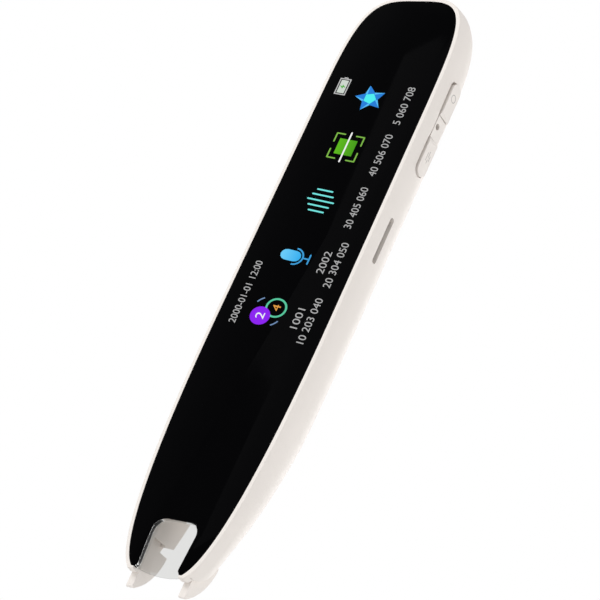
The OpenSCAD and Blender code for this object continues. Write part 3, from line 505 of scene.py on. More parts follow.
def ramp(material, value, stops):
    """Colour ramp through (place, colour) stops."""
    node = material.node_tree.nodes.new("ShaderNodeValToRGB")
    while len(node.color_ramp.elements) < len(stops):
        node.color_ramp.elements.new(0.5)
    for element, (place, color) in zip(node.color_ramp.elements, stops):
        element.position = place
        element.color = (*color, 1)
    material.node_tree.links.new(value, node.inputs["Fac"])
    return node.outputs["Color"]


def grey(level):
    return (level, level, level)


def bump(material, shader, height, strength, distance):
    node = material.node_tree.nodes.new("ShaderNodeBump")
    node.inputs["Strength"].default_value = strength
    node.inputs["Distance"].default_value = distance
    material.node_tree.links.new(height, node.inputs["Height"])
    material.node_tree.links.new(node.outputs["Normal"], shader.inputs["Normal"])


def scaled(color, factor):
    return tuple(min(1.0, c * factor) for c in color)


def moulded(name, color, roughness, specular=0.4):
    """Moulded plastic: faint cloudiness in colour and sheen, and a fine even grain."""
    material, shader = new_material(name, color, roughness, specular=specular)
    cloud = object_noise(material, 60, detail=3)
    links = material.node_tree.links
    links.new(ramp(material, cloud, [(0.3, scaled(color, 0.985)), (0.7, scaled(color, 1.012))]),
              shader.inputs["Base Color"])
    sheen = ramp(material, object_noise(material, 900, detail=2),
                 [(0.3, grey(roughness - 0.03)), (0.7, grey(roughness + 0.04))])
    links.new(sheen, shader.inputs["Roughness"])
    bump(material, shader, object_noise(material, 9000, detail=1), 0.05, 0.00002)
    return material


def sheet_metal(name, color, roughness):
    """Bare rolled metal with fine lines along its length."""
    material, shader = new_material(name, color, roughness, metallic=1.0)
    lines = object_noise(material, 700, stretch=(4, 4, 0.1), detail=4)
    links = material.node_tree.links
    links.new(ramp(material, lines, [(0.3, scaled(color, 0.88)), (0.7, scaled(color, 1.06))]),
              shader.inputs["Base Color"])
    links.new(ramp(material, lines, [(0.3, grey(roughness - 0.08)), (0.7, grey(roughness + 0.1))]),
              shader.inputs["Roughness"])
    return material


def brushed_white():
    """White brushed plate: streaks along the stick in colour, sheen and height."""
    material, shader = new_material("brushed_white", (0.85, 0.845, 0.835), 0.5,
                                    metallic=0.08, specular=0.3)
    fine = object_noise(material, 500, stretch=(9, 9, 0.05), detail=5, roughness=0.6)
    broad = object_noise(material, 140, stretch=(9, 9, 0.12), detail=3)
    nodes, links = material.node_tree.nodes, material.node_tree.links
    both = nodes.new("ShaderNodeMix")
    both.inputs["Factor"].default_value = 0.35
    links.new(fine, both.inputs["A"])
    links.new(broad, both.inputs["B"])
    streaks = both.outputs["Result"]
    links.new(ramp(material, streaks, [(0.36, (0.7, 0.692, 0.68)), (0.5, (0.83, 0.825, 0.812)),
                                       (0.66, (0.9, 0.895, 0.882))]), shader.inputs["Base Color"])
    links.new(ramp(material, streaks, [(0.3, grey(0.42)), (0.7, grey(0.58))]),
              shader.inputs["Roughness"])
    bump(material, shader, streaks, 0.35, 0.00003)
    return material


def black_gloss(name, specular):
    """Black polished surface, almost without a reflection when seen from the front."""
    material, shader = new_material(name, (0.0015, 0.0015, 0.0018), 0.06, specular=specular)
    sheen = ramp(material, object_noise(material, 120, detail=2),
                 [(0.35, grey(0.04)), (0.7, grey(0.09))])
    material.node_tree.links.new(sheen, shader.inputs["Roughness"])
    return material


def clear_plastic(name, tint):
    """Thin tinted window: light passes straight through, and the face keeps its gloss."""
    material = bpy.data.materials.new(name)
    material.use_nodes = True
    nodes, links = material.node_tree.nodes, material.node_tree.links
    nodes.remove(nodes["Principled BSDF"])
    through = nodes.new("ShaderNodeBsdfTransparent")
    through.inputs["Color"].default_value = (*tint, 1)
    gloss = nodes.new("ShaderNodeBsdfGlossy")
    gloss.inputs["Roughness"].default_value = 0.02
    fresnel = nodes.new("ShaderNodeFresnel")
    fresnel.inputs["IOR"].default_value = 1.2
    mix = nodes.new("ShaderNodeMixShader")
    links.new(fresnel.outputs["Fac"], mix.inputs["Fac"])
    links.new(through.outputs["BSDF"], mix.inputs[1])
    links.new(gloss.outputs["BSDF"], mix.inputs[2])
    links.new(mix.outputs["Shader"], nodes["Material Output"].inputs["Surface"])
    return material


def lit(name, color, low_color=None, span=(0, 1)):
    """Lit picture element. It may fade to a second colour across the stick, over span in mm."""
    material, shader = new_material(name, scaled(color, 0.06), 0.3, specular=0.05)
    nodes, links = material.node_tree.nodes, material.node_tree.links
    place = nodes.new("ShaderNodeTexCoord")
    split = nodes.new("ShaderNodeSeparateXYZ")
    run = nodes.new("ShaderNodeMapRange")
    links.new(place.outputs["Object"], split.inputs["Vector"])
    links.new(split.outputs["X"], run.inputs["Value"])
    run.inputs["From Min"].default_value = span[0] * MM
    run.inputs["From Max"].default_value = span[1] * MM
    glow = ramp(material, run.outputs["Result"],
                [(0.0, color), (1.0, low_color or scaled(color, 0.96))])
    links.new(glow, shader.inputs["Emission Color"])
    shader.inputs["Emission Strength"].default_value = 0.95
    return material


def woven_mesh(name, dark, light):
    """Fine grey dust mesh: two crossed sets of threads."""
    material, shader = new_material(name, grey(light), 0.7, specular=0.2)
    nodes, links = material.node_tree.nodes, material.node_tree.links
    place = nodes.new("ShaderNodeTexCoord")
    waves = []
    for direction in ("X", "Z"):
        wave = nodes.new("ShaderNodeTexWave")
        wave.bands_direction = direction
        wave.inputs["Scale"].default_value = 900
        links.new(place.outputs["Object"], wave.inputs["Vector"])
        waves.append(wave.outputs["Fac"])
    both = nodes.new("ShaderNodeMath")
    both.operation = "MAXIMUM"
    links.new(waves[0], both.inputs[0])
    links.new(waves[1], both.inputs[1])
    links.new(ramp(material, both.outputs[0], [(0.4, grey(dark)), (0.9, grey(light))]),
              shader.inputs["Base Color"])
    bump(material, shader, both.outputs[0], 0.5, 0.00005)
    return material


CREAM = (0.88, 0.828, 0.783)
cream = moulded("cream_casing", CREAM, 0.5, specular=0.12)
cream_key = moulded("cream_keys", scaled(CREAM, 0.985), 0.46, specular=0.14)
cream_feet = moulded("cream_feet", CREAM, 0.46, specular=0.14)
glass_black = black_gloss("glass_black", 0.003)
grille_black = black_gloss("grille_black", 0.1)
window_clear = clear_plastic("window_clear", (0.87, 0.87, 0.865))
plate_white = brushed_white()
mesh_grey = woven_mesh("woven_mesh", 0.22, 0.46)
slot_cloth = woven_mesh("slot_cloth", 0.44, 0.62)
steel = sheet_metal("plated_steel", (0.62, 0.62, 0.63), 0.3)
alloy = sheet_metal("bare_alloy", (0.66, 0.67, 0.69), 0.42)
gold = sheet_metal("gold_contact", (0.78, 0.56, 0.2), 0.25)
moulded_black = moulded("moulded_black", (0.02, 0.02, 0.022), 0.45)
board_green = moulded("board_green", (0.02, 0.11, 0.045), 0.35)
soft_black = moulded("soft_black", (0.03, 0.03, 0.03), 0.8)
amber_film = moulded("amber_film", (0.5, 0.2, 0.04), 0.35)
ivory = moulded("ivory_part", (0.68, 0.64, 0.55), 0.4)
lamp_body = moulded("lamp_body", (0.85, 0.8, 0.5), 0.3)
orange_part = moulded("orange_part", (0.65, 0.12, 0.03), 0.4)
battery_foil = moulded("battery_foil", (0.3, 0.31, 0.34), 0.4)
display_dark = black_gloss("display_dark", 0.3)
key_mark = moulded("key_mark", (0.5, 0.475, 0.455), 0.5, specular=0.1)

NODE_FINISH = {
    "display_panel": display_dark, "backlight_unit": alloy, "mid_frame": alloy,
    "lens_gasket": soft_black, "back_plate_tape": soft_black, "battery_pad": soft_black,
    "speaker_gasket": soft_black, "display_flex": amber_film, "camera_flex": amber_film,
    "display_connector": moulded_black, "camera_connector": moulded_black,
    "main_board": board_green, "light_board": board_green, "processor": moulded_black,
    "memory_chip": moulded_black, "power_chip": moulded_black, "shield_can": steel,
    "antenna": ivory, "microphone": steel, "usb_port": steel, "usb_tongue": moulded_black,
    "card_socket": steel, "card_contacts": gold, "key_switches": moulded_black,
    "power_plunger": orange_part, "function_plunger": orange_part, "scan_plunger": orange_part,
    "battery": battery_foil, "battery_lead": orange_part, "battery_connector": ivory,
    "speaker": moulded_black, "camera_module": moulded_black, "camera_lens": window_clear,
    "scan_lights": lamp_body, "scan_switch": moulded_black, "foot_springs": steel,
    "case_screws": steel, "board_screws": steel, "speaker_mesh": mesh_grey,
}
for node, material in NODE_FINISH.items():
    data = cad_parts[node].data
    data.materials.clear()
    data.materials.append(material)


# ---------------------------------------------------------------- casing

def side_angles(count):
    """Angles from the widest line to the crown, in radians, closest at both ends."""
    u = np.linspace(0, 1, count)
    share = u ** 1.5 / (u ** 1.5 + (1 - u) ** 1.5)
    return (1 - share) * math.pi / 2


def section_ring(s, z_s, width, wall, front, cap, count):
    """Ring of the cross-section at s: up the leaning side from the front edge, then a
    superellipse over the back that stops at cap, and down the other side."""
    a = side_angles(count)
    n = slope_power(s)
    waist = waist_at(s)
    rise = crown_at(s) - wall - waist
    x = width * np.sin(a) ** (2 / n)
    d = np.minimum(cap, waist + rise * np.cos(a) ** (2 / n))
    side_d = np.linspace(front, waist, 8)[:-1]
    lean = lean_at(side_d) if wall == 0 else 0 * side_d
    k = slope_of(half_w, s)
    x = np.concatenate([width - lean / np.sqrt(1 + k * k), x])
    side_s = z_s + lean * k / np.sqrt(1 + k * k)
    run = np.concatenate([side_s, np.full(count, z_s)])
    d = np.concatenate([side_d, d])
    return put(np.concatenate([x, -x[-2::-1]]), np.concatenate([run, run[-2::-1]]),
               np.concatenate([d, d[-2::-1]]))


def casing_outer():
    """The casing's outside: cross-sections from the top end to the shell's lower end."""
    steps = np.concatenate([[0.005], TOP_STEPS[2:], np.linspace(CORNER_L, TAPER_FROM, 6)[1:-1],
                            NOSE_STEPS[NOSE_STEPS < SHELL_END - 0.1], [SHELL_END]])
    rings = [section_ring(s, max(0.0, s - 0.004), half_w(s), 0, SEAM_D,
                          pad_level(s) - 0.5, 56) for s in steps]
    return loft("casing_outer", rings)


def casing_hollow():
    """The room inside the casing, one wall in from its outside."""
    steps = np.concatenate([[0.3, 0.7, 1.2, 2, 3, 4.5, 6, 8, 11, 15, 22, 32], NOSE_STEPS[:36:3]])
    k = slope_of(half_w, steps)
    n = np.sqrt(1 + k * k)
    cap = BODY_T - WALL - 0.2
    rings = [section_ring(s, s + WALL * ki / ni, half_w(s) - WALL / ni, WALL, 0, cap, 30)
             for s, ki, ni in zip(steps, k, n)]
    return loft("casing_hollow", rings)


def pad_half_at(s):
    """Half width of the raised back: a round shoulder, then the plate's edge plus a border,
    then the strip down the nose."""
    r = GRILLE_R + PAD_HALF - GRILLE_HALF
    corner = PAD_HALF - r + np.sqrt(np.maximum(0, r ** 2 - np.maximum(0, r - (s - PAD_FROM)) ** 2))
    k = slope_of(plate_half_at, s)
    along = np.clip(plate_half_at(s) + (PAD_HALF - PLATE_HALF) * np.sqrt(1 + k * k),
                    NECK_HALF, PAD_HALF)
    along = np.where(s > PLATE_TAPER + 0.965 * BULLET_L, NECK_HALF, along)
    return np.where(s < PAD_FROM + r, corner, along)


def raised_back():
    """The flat raised back with a rounded edge, down to the strip beside the nose slot."""
    steps = np.concatenate([PAD_FROM + 6.5 * np.linspace(0, 1, 30) ** 2,
                            np.linspace(14, PLATE_TAPER, 12),
                            spread(PLATE_TAPER, BODY_L - 30.9, 60, 1.5)[1:],
                            np.linspace(BODY_L - 30.5, BODY_L - 8.6, 24)])
    turn = np.radians(np.linspace(0, 90, 7))
    rings = []
    for s in steps:
        half, level = float(pad_half_at(s)), float(pad_level(s))
        rounding = PAD_BEVEL if s > PAD_FROM else PAD_BEVEL * 0.99
        x = np.concatenate([[half], half - rounding * (1 - np.cos(turn))])
        d = np.concatenate([[level - PAD_ROOT], level - rounding * (1 - np.sin(turn))])
        rings.append(put(np.concatenate([x, -x[::-1]]), s, np.concatenate([d, d[::-1]])))
    return loft("raised_back", rings)


def slot_wall(d):
    """Place of the slot's slanted wall at depth d."""
    return SLOT_TOP + (SLOT_EDGE_D - d) * SLOT_LEAN


def nose_slot(grow, back):
    """Slot through the nose: round upper corners, a wall that leans with depth."""
    layers = []
    for d in (-1.0, BODY_T + 1.0):
        s0 = slot_wall(d) - back
        side = arc(SLOT_HALF + grow - SLOT_CORNER, s0 + SLOT_CORNER, SLOT_CORNER, -90, 0, 12)
        edge = mirrored(np.concatenate([side, [[SLOT_HALF + grow, TOTAL_L + 2]]]))
        layers.append((edge, d))
    return layered("nose_slot", layers)


def foot_room(sign):
    """Room of one foot: the V notch between skin and foot, and the way out of the nose."""
    edge = [[-1, SKIN_END], [6.3, SKIN_END], [6.8, SKIN_END + 0.45], [ROOM_D, ROOM_S],
            [FAR, ROOM_S - (FAR - ROOM_D) * ROOM_SLOPE], [FAR, TOTAL_L + FAR], [-1, TOTAL_L + FAR]]
    return slice_x("foot_room", edge, sign * (SLOT_HALF - 1), sign * (FOOT_OUTER + 0.15))


def side_trim(sign):
    """Lower end of the side wall: from the frame's end back and up to the V notch."""
    edge = [[FRAME_T - 0.2, SHELL_END], [3.3, BODY_L - 1.42], [4.4, BODY_L - 2.1],
            [5.5, BODY_L - 3.25], [6.6, BODY_L - 4.75], [7.6, BODY_L - 6.5], [ROOM_D, ROOM_S],
            [ROOM_D, TOTAL_L + 9], [FRAME_T - 0.2, TOTAL_L + 9]]
    return slice_x("side_trim", edge, sign * (FOOT_OUTER - 0.3), sign * FAR)


def grille_outline(grow):
    """Top of the grille's seat, square-sided below its round shoulders."""
    side = arc(GRILLE_HALF - GRILLE_R, GRILLE_FROM + GRILLE_R, GRILLE_R + grow, -90, 0, 20)
    low = [[GRILLE_HALF + grow, PLATE_FROM + PLATE_R]]
    return mirrored(np.concatenate([side, low]))


def sound_slot(i, grow=0.0):
    """One of seven sound slots, with ends that slant to one side."""
    reach = SLOT_REACH[3 - abs(i - 3)]
    side = (1, -1, 1, 1, -1, 1, -1)[i]
    a = SLOT_W / 2 + grow
    x = (i - 3) * SLOT_PITCH
    return [[x - a * side, SLOT_MID - reach], [x + a * side, SLOT_MID - reach + SLOT_SLANT],
            [x + a * side, SLOT_MID + reach - SLOT_SLANT], [x - a * side, SLOT_MID + reach]]


def key_groove():
    """Wider gap on the glass side of the keys: a superellipse corner at the top that runs out on
    the key's end, narrow along the bridge, and round the lower end."""
    left = KEY_D - KEY_W / 2
    a = np.linspace(0, math.pi / 2, 16)
    top = np.stack([KEY_D - (KEY_W / 2 + KEY_GROOVE) * np.sin(a) ** KEY_CORNER_POWER,
                    KEY_FROM + KEY_CORNER * (1 - np.cos(a) ** KEY_CORNER_POWER)], -1)
    s = np.linspace(KEY_FROM + KEY_CORNER + 0.2, KEY_END - KEY_W / 2, 48)
    bridge = np.exp(-((s - BRIDGE_MID) / BRIDGE_SPREAD) ** 4)
    side = np.stack([left - KEY_GROOVE * (1 - 0.7 * bridge), s], -1)
    low = arc(KEY_D - KEY_GROOVE / 2, KEY_END - KEY_W / 2, (KEY_W + KEY_GROOVE) / 2, 180, 80, 16)
    edge = np.concatenate([top, side, low[1:], [[KEY_D, KEY_END - 2], [KEY_D, KEY_FROM + 2]]])
    return slice_x("groove", edge, HALF - KEY_GROOVE_DEEP, FAR)


def grille_seat():
    """Pocket of the grille, down to the plate's rim."""
    seat = prism("grille_seat", grille_outline(SEAT_GAP), BODY_T - GRILLE_T, FAR)
    return combine(seat, [prism("lip", plate_outline(LIP_W - SEAT_GAP), 0, 2 * FAR)])


def fine_line():
    """Shallow line round the grille's seat."""
    inner, outer = FINE_LINE
    line_room = prism("fine_line", grille_outline(outer), BODY_T - FINE_LINE_T, FAR)
    return combine(line_room, [prism("inside", grille_outline(inner), 0, 2 * FAR)])


def scan_strip():
    """Room of the window strip in the slot's slanted wall."""
    d0, d1 = SCAN_STRIP_D
    edge = [[d0, slot_wall(d0) + 1], [d1, slot_wall(d1) + 1],
            [d1, slot_wall(d1) - 6], [d0, slot_wall(d0) - 6]]
    return slice_x("scan_strip", edge, -SCAN_STRIP_HALF, SCAN_STRIP_HALF)


def side_hole(name, d, width, s0, s1, inner):
    """Round-ended hole through the right side wall."""
    return slice_x(name, stadium(d - width / 2, d + width / 2, s0, s1), inner, FAR)


def make_casing():
    """White back half: a superellipse loft with the raised back, less its hollow and openings."""
    casing = combine(casing_outer(), [raised_back()], "UNION")
    inner = combine(casing_hollow(), [nose_slot(SKIN_T, 1.3),
                                      block("end_stop", -FAR, FAR, HOLLOW_END, FAR_END, -1, FAR)])
    foot_channels = [block("channel", sign * CHANNEL_OUT, sign * (SLOT_HALF + SKIN_T),
                           BODY_L - CHANNEL_L, FOOT_TOP, FRAME_T, CHANNEL_D) for sign in (-1, 1)]
    well = rounded_box(-6.4, 6.4, SLOT_MID - 5.4, SLOT_MID + 5.4, 1)
    port = stadium(-USB_HALF, USB_HALF, USB_D - USB_H / 2, USB_D + USB_H / 2)
    combine(casing, [
        inner, prism("frame_seat", outline(LIP_T), -1, FRAME_T + 0.05), nose_slot(0, 0),
        foot_room(1), foot_room(-1), *foot_channels, side_trim(1), side_trim(-1), scan_strip(),
        grille_seat(), fine_line(),
        prism("plate_seat", plate_outline(SEAT_GAP), BODY_T - PLATE_T - SEAT_GAP, FAR),
        prism("sound_well", well, BODY_T - 2.7, FAR), column("usb_hole", port, -1, 3),
        side_hole("key_hole", KEY_D, KEY_W, KEY_FROM, KEY_END, 13), key_groove(),
        side_hole("card_hole", CARD_D, CARD_W, CARD_FROM, CARD_END, 14)])
    return finish(casing, CASING, cream, ["rear_shell"], bevel=0.07, seam=SEAM_D)


def soft_end(name):
    """The frame at its full thickness, with a soft lower edge round the prongs' ends."""
    d = np.array([FLANGE_T / 2, 0.7, SEAM_D, 1.2, 1.5, 1.75, 1.95, 2.12, 2.25, 2.34, FRAME_T])
    soft = SOFT_R * (1 - np.sqrt(1 - (np.maximum(0, d - FRAME_T + SOFT_R) / SOFT_R) ** 2))
    return layered(name, [(outline(lean_at(max(di, 0.7)) + r), di) for di, r in zip(d, soft)])


def make_front_frame():
    """White frame: a rounded outer edge, the seat of the glass and the ledge behind it."""
    turn = np.radians(np.linspace(0, 90, 7))
    depth, inset = RIM_ROUND * (1 - np.cos(turn)), RIM_ROUND * (1 - np.sin(turn))
    layers = [(outline(lean_at(d) + r), d) for d, r in zip(depth, inset)]
    layers += [(outline(lean_at(d)), d) for d in (0.4, 0.7, SEAM_D)]
    rim = layered("front_rim", layers)
    ledge = prism("ledge", outline(LIP_T + 0.05), FLANGE_T / 2, FRAME_T)
    prong = combine(soft_end("prong"), [block("above", -FAR, FAR, -FAR, SHELL_END, -1, FAR)])
    keep = block("keep", -STOP_HALF, STOP_HALF, BODY_L - STOP_L, FAR_END, -1, FAR)
    stop = combine(soft_end("stop"), [keep], "INTERSECT")
    combine(rim, [ledge, prong, stop], "UNION")
    opening = combine(prism("opening", outline(LEDGE_IN), -1, FAR),
                      [block("below", -FAR, FAR, OPENING_END, FAR_END, -2, 2 * FAR)])
    nose_gap = block("nose_gap", -SLOT_HALF, SLOT_HALF, BODY_L - WINDOW_L - 1.35, FAR_END, -1, FAR)
    combine(rim, [prism("glass_seat", outline(RIM - 0.05), -1, SEAT_D), opening, nose_gap])
    return finish(rim, CASING, cream, ["front_frame"], bevel=0.05, seam=SEAM_D)


def notch_outline():
    """Notch of the glass: round upper corners, straight sides and a flare at the end."""
    side = arc(WINDOW_HALF - WINDOW_R, BODY_L - WINDOW_L + WINDOW_R, WINDOW_R, -90, 0, 16)
    rest = [[WINDOW_WAIST, BODY_L - 2.3], [WINDOW_WAIST, BODY_L - 1.6],
            [SLOT_HALF - 0.05, BODY_L - 0.8], [SLOT_HALF - 0.05, BODY_L + 1]]
    return mirrored(np.concatenate([side, rest]))


def make_glass():
    """Black cover glass with a fine bevel round its face."""
    glass = layered("cover_glass", [(outline(RIM + 0.08), GLASS_FACE), (outline(RIM + 0.02), 0.05),
                                    (outline(RIM), 0.12), (outline(RIM), LENS_T)])
    combine(glass, [prism("notch", notch_outline(), -1, 5)])
    return finish(glass, CASING, glass_black, ["cover_lens"])


def make_back_plate():
    """Brushed plate with a fine bright bevel."""
    levels = ((0, PLATE_T), (0, 0.08), (-0.02, 0.03), (-0.08, 0))
    layers = [(plate_outline(grow), BODY_T - deep) for grow, deep in levels]
    plate = layered("brushed_plate", layers)
    return finish(plate, CASING, plate_white, ["back_plate"])


def make_grille():
    """Black plate with seven sound slots, and the cloth that fills them."""
    levels = ((0, GRILLE_T), (0, 0.1), (-0.1, 0))
    layers = [(grille_outline(grow), BODY_T - deep) for grow, deep in levels]
    grille = layered("sound_grille", layers)
    cuts = [prism("lip", plate_outline(LIP_W), 0, FAR)]
    cuts += [prism("sound_slot", sound_slot(i), 0, FAR) for i in range(7)]
    combine(grille, cuts)
    finish(grille, CASING, grille_black, ["speaker_grille"])
    cloth = [prism_parts(sound_slot(i, -0.01), BODY_T - GRILLE_T, BODY_T - CLOTH_IN)
             for i in range(7)]
    return finish(joined_mesh("sound_slot_cloth", cloth), CASING, slot_cloth)


# ---------------------------------------------------------------- lit picture

def on_screen(u, v, x0, s0):
    """Places (x, s) of picture points (u, v) about (x0, s0)."""
    x = x0 - PICTURE_TALL * np.asarray(v, float)
    return x, s0 - np.asarray(u, float) + PICTURE_LEAN * (x - x0)


def picture(name, outlines, x0, s0, material, level=0):
    """One lit shape of flat outlines in (u, v). Level 1 lies on level 0, and 2 on 1."""
    parts = [prism_parts(np.stack(on_screen(*np.asarray(edge, float).T, x0, s0), -1),
                         PICTURE_FACE - PICTURE_STEP * level, PICTURE_BACK) for edge in outlines]
    return finish(joined_mesh(name, parts), CASING, material)


def printed(name, text, width, height, x0, s0, material, level=0):
    """Plain digits, width long and height high, about (x0, s0)."""
    curve = bpy.data.curves.new(name, "FONT")
    curve.body = text
    curve.extrude = 0.05
    maker = bpy.data.objects.new(name, curve)
    bpy.context.scene.collection.objects.link(maker)
    mesh = evaluated_mesh(maker)
    bpy.data.objects.remove(maker)
    flat = np.zeros(len(mesh.vertices) * 3, np.float32)
    mesh.vertices.foreach_get("co", flat)
    flat = flat.reshape(-1, 3).astype(float)
    low, high = flat.min(0), flat.max(0)
    u, v, rise = ((flat - low) / (high - low) - (0.5, 0.5, 0)).T
    x, s = on_screen(u * width, v * height / PICTURE_TALL, x0, s0)
    face = PICTURE_FACE - PICTURE_STEP * level
    mesh.vertices.foreach_set("co", put(x, s, PICTURE_BACK + (face - PICTURE_BACK) * rise).ravel())
    piece = bpy.data.objects.new(name, mesh)
    bpy.context.scene.collection.objects.link(piece)
    return finish(piece, CASING, material)


def box(u0, u1, v0, v1):
    return [[u0, v0], [u1, v0], [u1, v1], [u0, v1]]


def line(u0, v0, u1, v1, width):
    """Straight stroke with round ends."""
    turn = math.degrees(math.atan2(v1 - v0, u1 - u0))
    return np.concatenate([arc(u1, v1, width / 2, turn - 90, turn + 90, 7),
                           arc(u0, v0, width / 2, turn + 90, turn + 270, 7)])


def bow(u, v, radius, width, first, last):
    """Stroke along an arc."""
    return np.concatenate([arc(u, v, radius + width / 2, first, last, 24),
                           arc(u, v, radius - width / 2, last, first, 24)])


def ring(u, v, radius, width):
    return [bow(u, v, radius, width, 0, 180), bow(u, v, radius, width, 180, 360)]


def circle(u, v, radius):
    return arc(u, v, radius, 0, 360, 49)[:-1]


def star_points(radius, inner, first=90):
    """Ten points, by turns at radius and at inner: a star, or a pentagon where inner fits."""
    a = np.radians(first + 36 * np.arange(10))
    r = np.where(np.arange(10) % 2 == 0, radius, inner)
    return np.stack([r * np.cos(a), r * np.sin(a)], -1)


def make_picture():
    """The lit picture: icons, each about its own place (x0, s0), and plain numbers."""
    text_grey = lit("picture_text", grey(0.42))
    white = lit("picture_white", grey(0.88))
    # Battery with its charging bolt
    x0, s0 = -10.3, 26.6
    frame_lines = [box(-2.3, 2.3, 1.1, 1.36), box(-2.3, 2.3, -1.36, -1.1),
                   box(-2.3, -2.04, -1.1, 1.1), box(2.04, 2.3, -1.1, 1.1),
                   box(2.38, 2.62, -0.5, 0.5)]
    picture("battery_outline", frame_lines, x0, s0, lit("picture_grey", grey(0.5)))
    picture("battery_level", [box(-1.82, 1.82, -0.86, 0.86)], x0, s0,
            lit("picture_pale", (0.6, 0.66, 0.6)))
    bolt = [[0.25, 0.8], [-0.62, -0.12], [-0.08, -0.12], [-0.25, -0.8], [0.62, 0.12], [0.08, 0.12]]
    picture("battery_bolt", [bolt], x0, s0, lit("picture_bolt", (0.08, 0.42, 0.05)), 1)
    # Star
    x0, s0 = -1.0, 29.65
    star = star_points(3.6, 1.85)
    picture("star_arms", [star], x0, s0, lit("picture_blue", (0.012, 0.2, 0.68)))
    facets = [[tip, root, root * 0.55 + tip * 0.12] for tip, root in zip(star[::2], star[1::2])]
    picture("star_facets", facets, x0, s0, lit("picture_sky", (0.09, 0.5, 0.93)), 1)
    centre = star_points(1.5, 1.5 * math.cos(math.radians(36)), 270)
    picture("star_centre", [centre], x0, s0, lit("picture_aqua", (0.07, 0.84, 0.84)), 2)
    # Scan frame
    x0, s0 = -1.5, 43.5
    a, b, w = 3.35, 3.26, 0.34
    corners = []
    for i in (-1, 1):
        for j in (-1, 1):
            corners += [line(i * a, j * b, i * (a - 2.3), j * b, w),
                        line(i * a, j * b, i * a, j * (b - 1.9), w)]
    picture("scan_corners", corners, x0, s0, lit("picture_lime", (0.2, 0.47, 0.06)))
    picture("scan_page", [box(-2.12, 2.12, -2.1, 2.1)], x0, s0,
            lit("picture_green", (0.1, 0.47, 0.003), (0.05, 0.3, 0.001), (-4.0, 1.0)))
    picture("scan_line", [line(-4.0, 0, 4.0, 0, 0.36)], x0, s0, white, 1)
    # Sound waves
    x0, s0 = -1.6, 58.35
    waves = [line(u, -half, u, half, 0.4)
             for u, half in ((-2.85, 1.75), (-1.43, 2.4), (0, 3.05), (1.43, 2.4), (2.8, 1.75))]
    picture("sound_waves", waves, x0, s0, lit("picture_teal", (0.17, 0.78, 0.74)))
    # Microphone
    x0, s0 = -1.6, 73.5
    picture("mic_head", [line(0.05, -0.05, 0.05, 2.05, 2.75)], x0, s0,
            lit("picture_mic", (0.13, 0.58, 0.92), (0.02, 0.4, 0.83), (-5.0, 0.0)))
    cup = [bow(0, 0.15, 2.05, 0.38, 180, 360), box(-0.19, 0.19, -3.3, -1.8),
           line(-1.15, -3.4, 1.15, -3.4, 0.36)]
    picture("mic_stand", cup, x0, s0, lit("picture_cup", (0.04, 0.33, 0.68)))
    # Two numbered discs
    picture("disc_ring", ring(0, 0, 2.25, 0.46), -0.2, 87.1,
            lit("picture_mint", (0.09, 0.56, 0.33)))
    printed("disc_ring_number", "4", 1.55, 2.3, -0.15, 87.05,
            lit("picture_orange", (0.75, 0.33, 0.05)))
    picture("disc_full", [circle(0, 0, 2.3)], -3.65, 89.45,
            lit("picture_violet", (0.25, 0.01, 0.85)), 1)
    printed("disc_full_number", "2", 1.6, 2.5, -3.65, 89.4, white, 2)
    picture("disc_arrows", [bow(0, 0, 3.6, 0.3, 32, 62), bow(0, 0, 3.6, 0.3, 212, 242)], -2.1, 88.2,
            lit("picture_steel", (0.16, 0.27, 0.47)))
    # Numbers under each and the clock line
    lines = [("1001", 5.1, 6.85, 89.1), ("10 203 040", 11.6, 10.35, 89.35),
             ("2002", 5.8, 7.1, 74.35), ("20 304 050", 11.8, 10.6, 74.75),
             ("30 405 060", 11.0, 9.0, 59.5), ("40 506 070", 11.4, 9.15, 45.1),
             ("5 060 708", 10.4, 9.5, 31.3)]
    for i, (text, width, x, s) in enumerate(lines):
        printed("number_%d" % (i + 1), text, width, 2.15, x, s, text_grey)
    printed("clock_line", "2000-01-01 12:00", 16.4, 2.05, -10.6, 83.75, text_grey)


# ---------------------------------------------------------------- key marks

def key_face(d):
    """How far out the keys' slanted face lies at depth d."""
    return KEY_OUT - KEY_TILT * (d - (KEY_D - KEY_W / 2)) / KEY_W


def key_sign(name, body, outlines, material):
    """Shallow raised sign on a key's face, from outlines in (d, s)."""
    parts = []
    for edge in outlines:
        d, s = np.asarray(edge, float).T
        face = key_face(d)
        parts.append(loft_parts(np.stack([put(face - 0.1, s, d), put(face + KEY_SIGN, s, d)])))
    return finish(joined_mesh(name, parts), body, material)


def make_springs():
    """The coil springs, copied from their CAD node into a mesh of their own."""
    coils = refined("foot_springs", "foot_coils", CASING, steel, 0)
    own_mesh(coils)


make_casing()
make_front_frame()
make_glass()
make_back_plate()
make_grille()
refined("reading_window", "nose_window", CASING, window_clear, 0.08)
refined("scan_window", "scan_strip_window", CASING, window_clear, 0.05)
refined("scan_feet", "scan_feet_pair", "scan_feet", cream_feet, 0.12)
make_springs()
refined("power_key", "power_key_cap", "power_key", cream_key, 0.14)
refined("function_key", "function_key_cap", "function_key", cream_key, 0.14)
refined("key_bridge", "key_bridge_cap", CASING, cream_key, 0.06,
        cuts=[slice_x("pinhole", circle(*PINHOLE), 0, FAR)])
make_picture()
key_sign("power_sign", "power_key", ring(6.14, 24.6, 0.92, 0.2), key_mark)
strokes = ((5.75, 39.9, 41.9), (6.4, 39.3, 40.9), (6.4, 41.4, 42.3), (7.0, 40.2, 41.5))
key_sign("function_sign", "function_key",
         [line(d, s0, d, s1, 0.2) for d, s0, s1 in strokes], key_mark)


# ---------------------------------------------------------------- room, light and camera

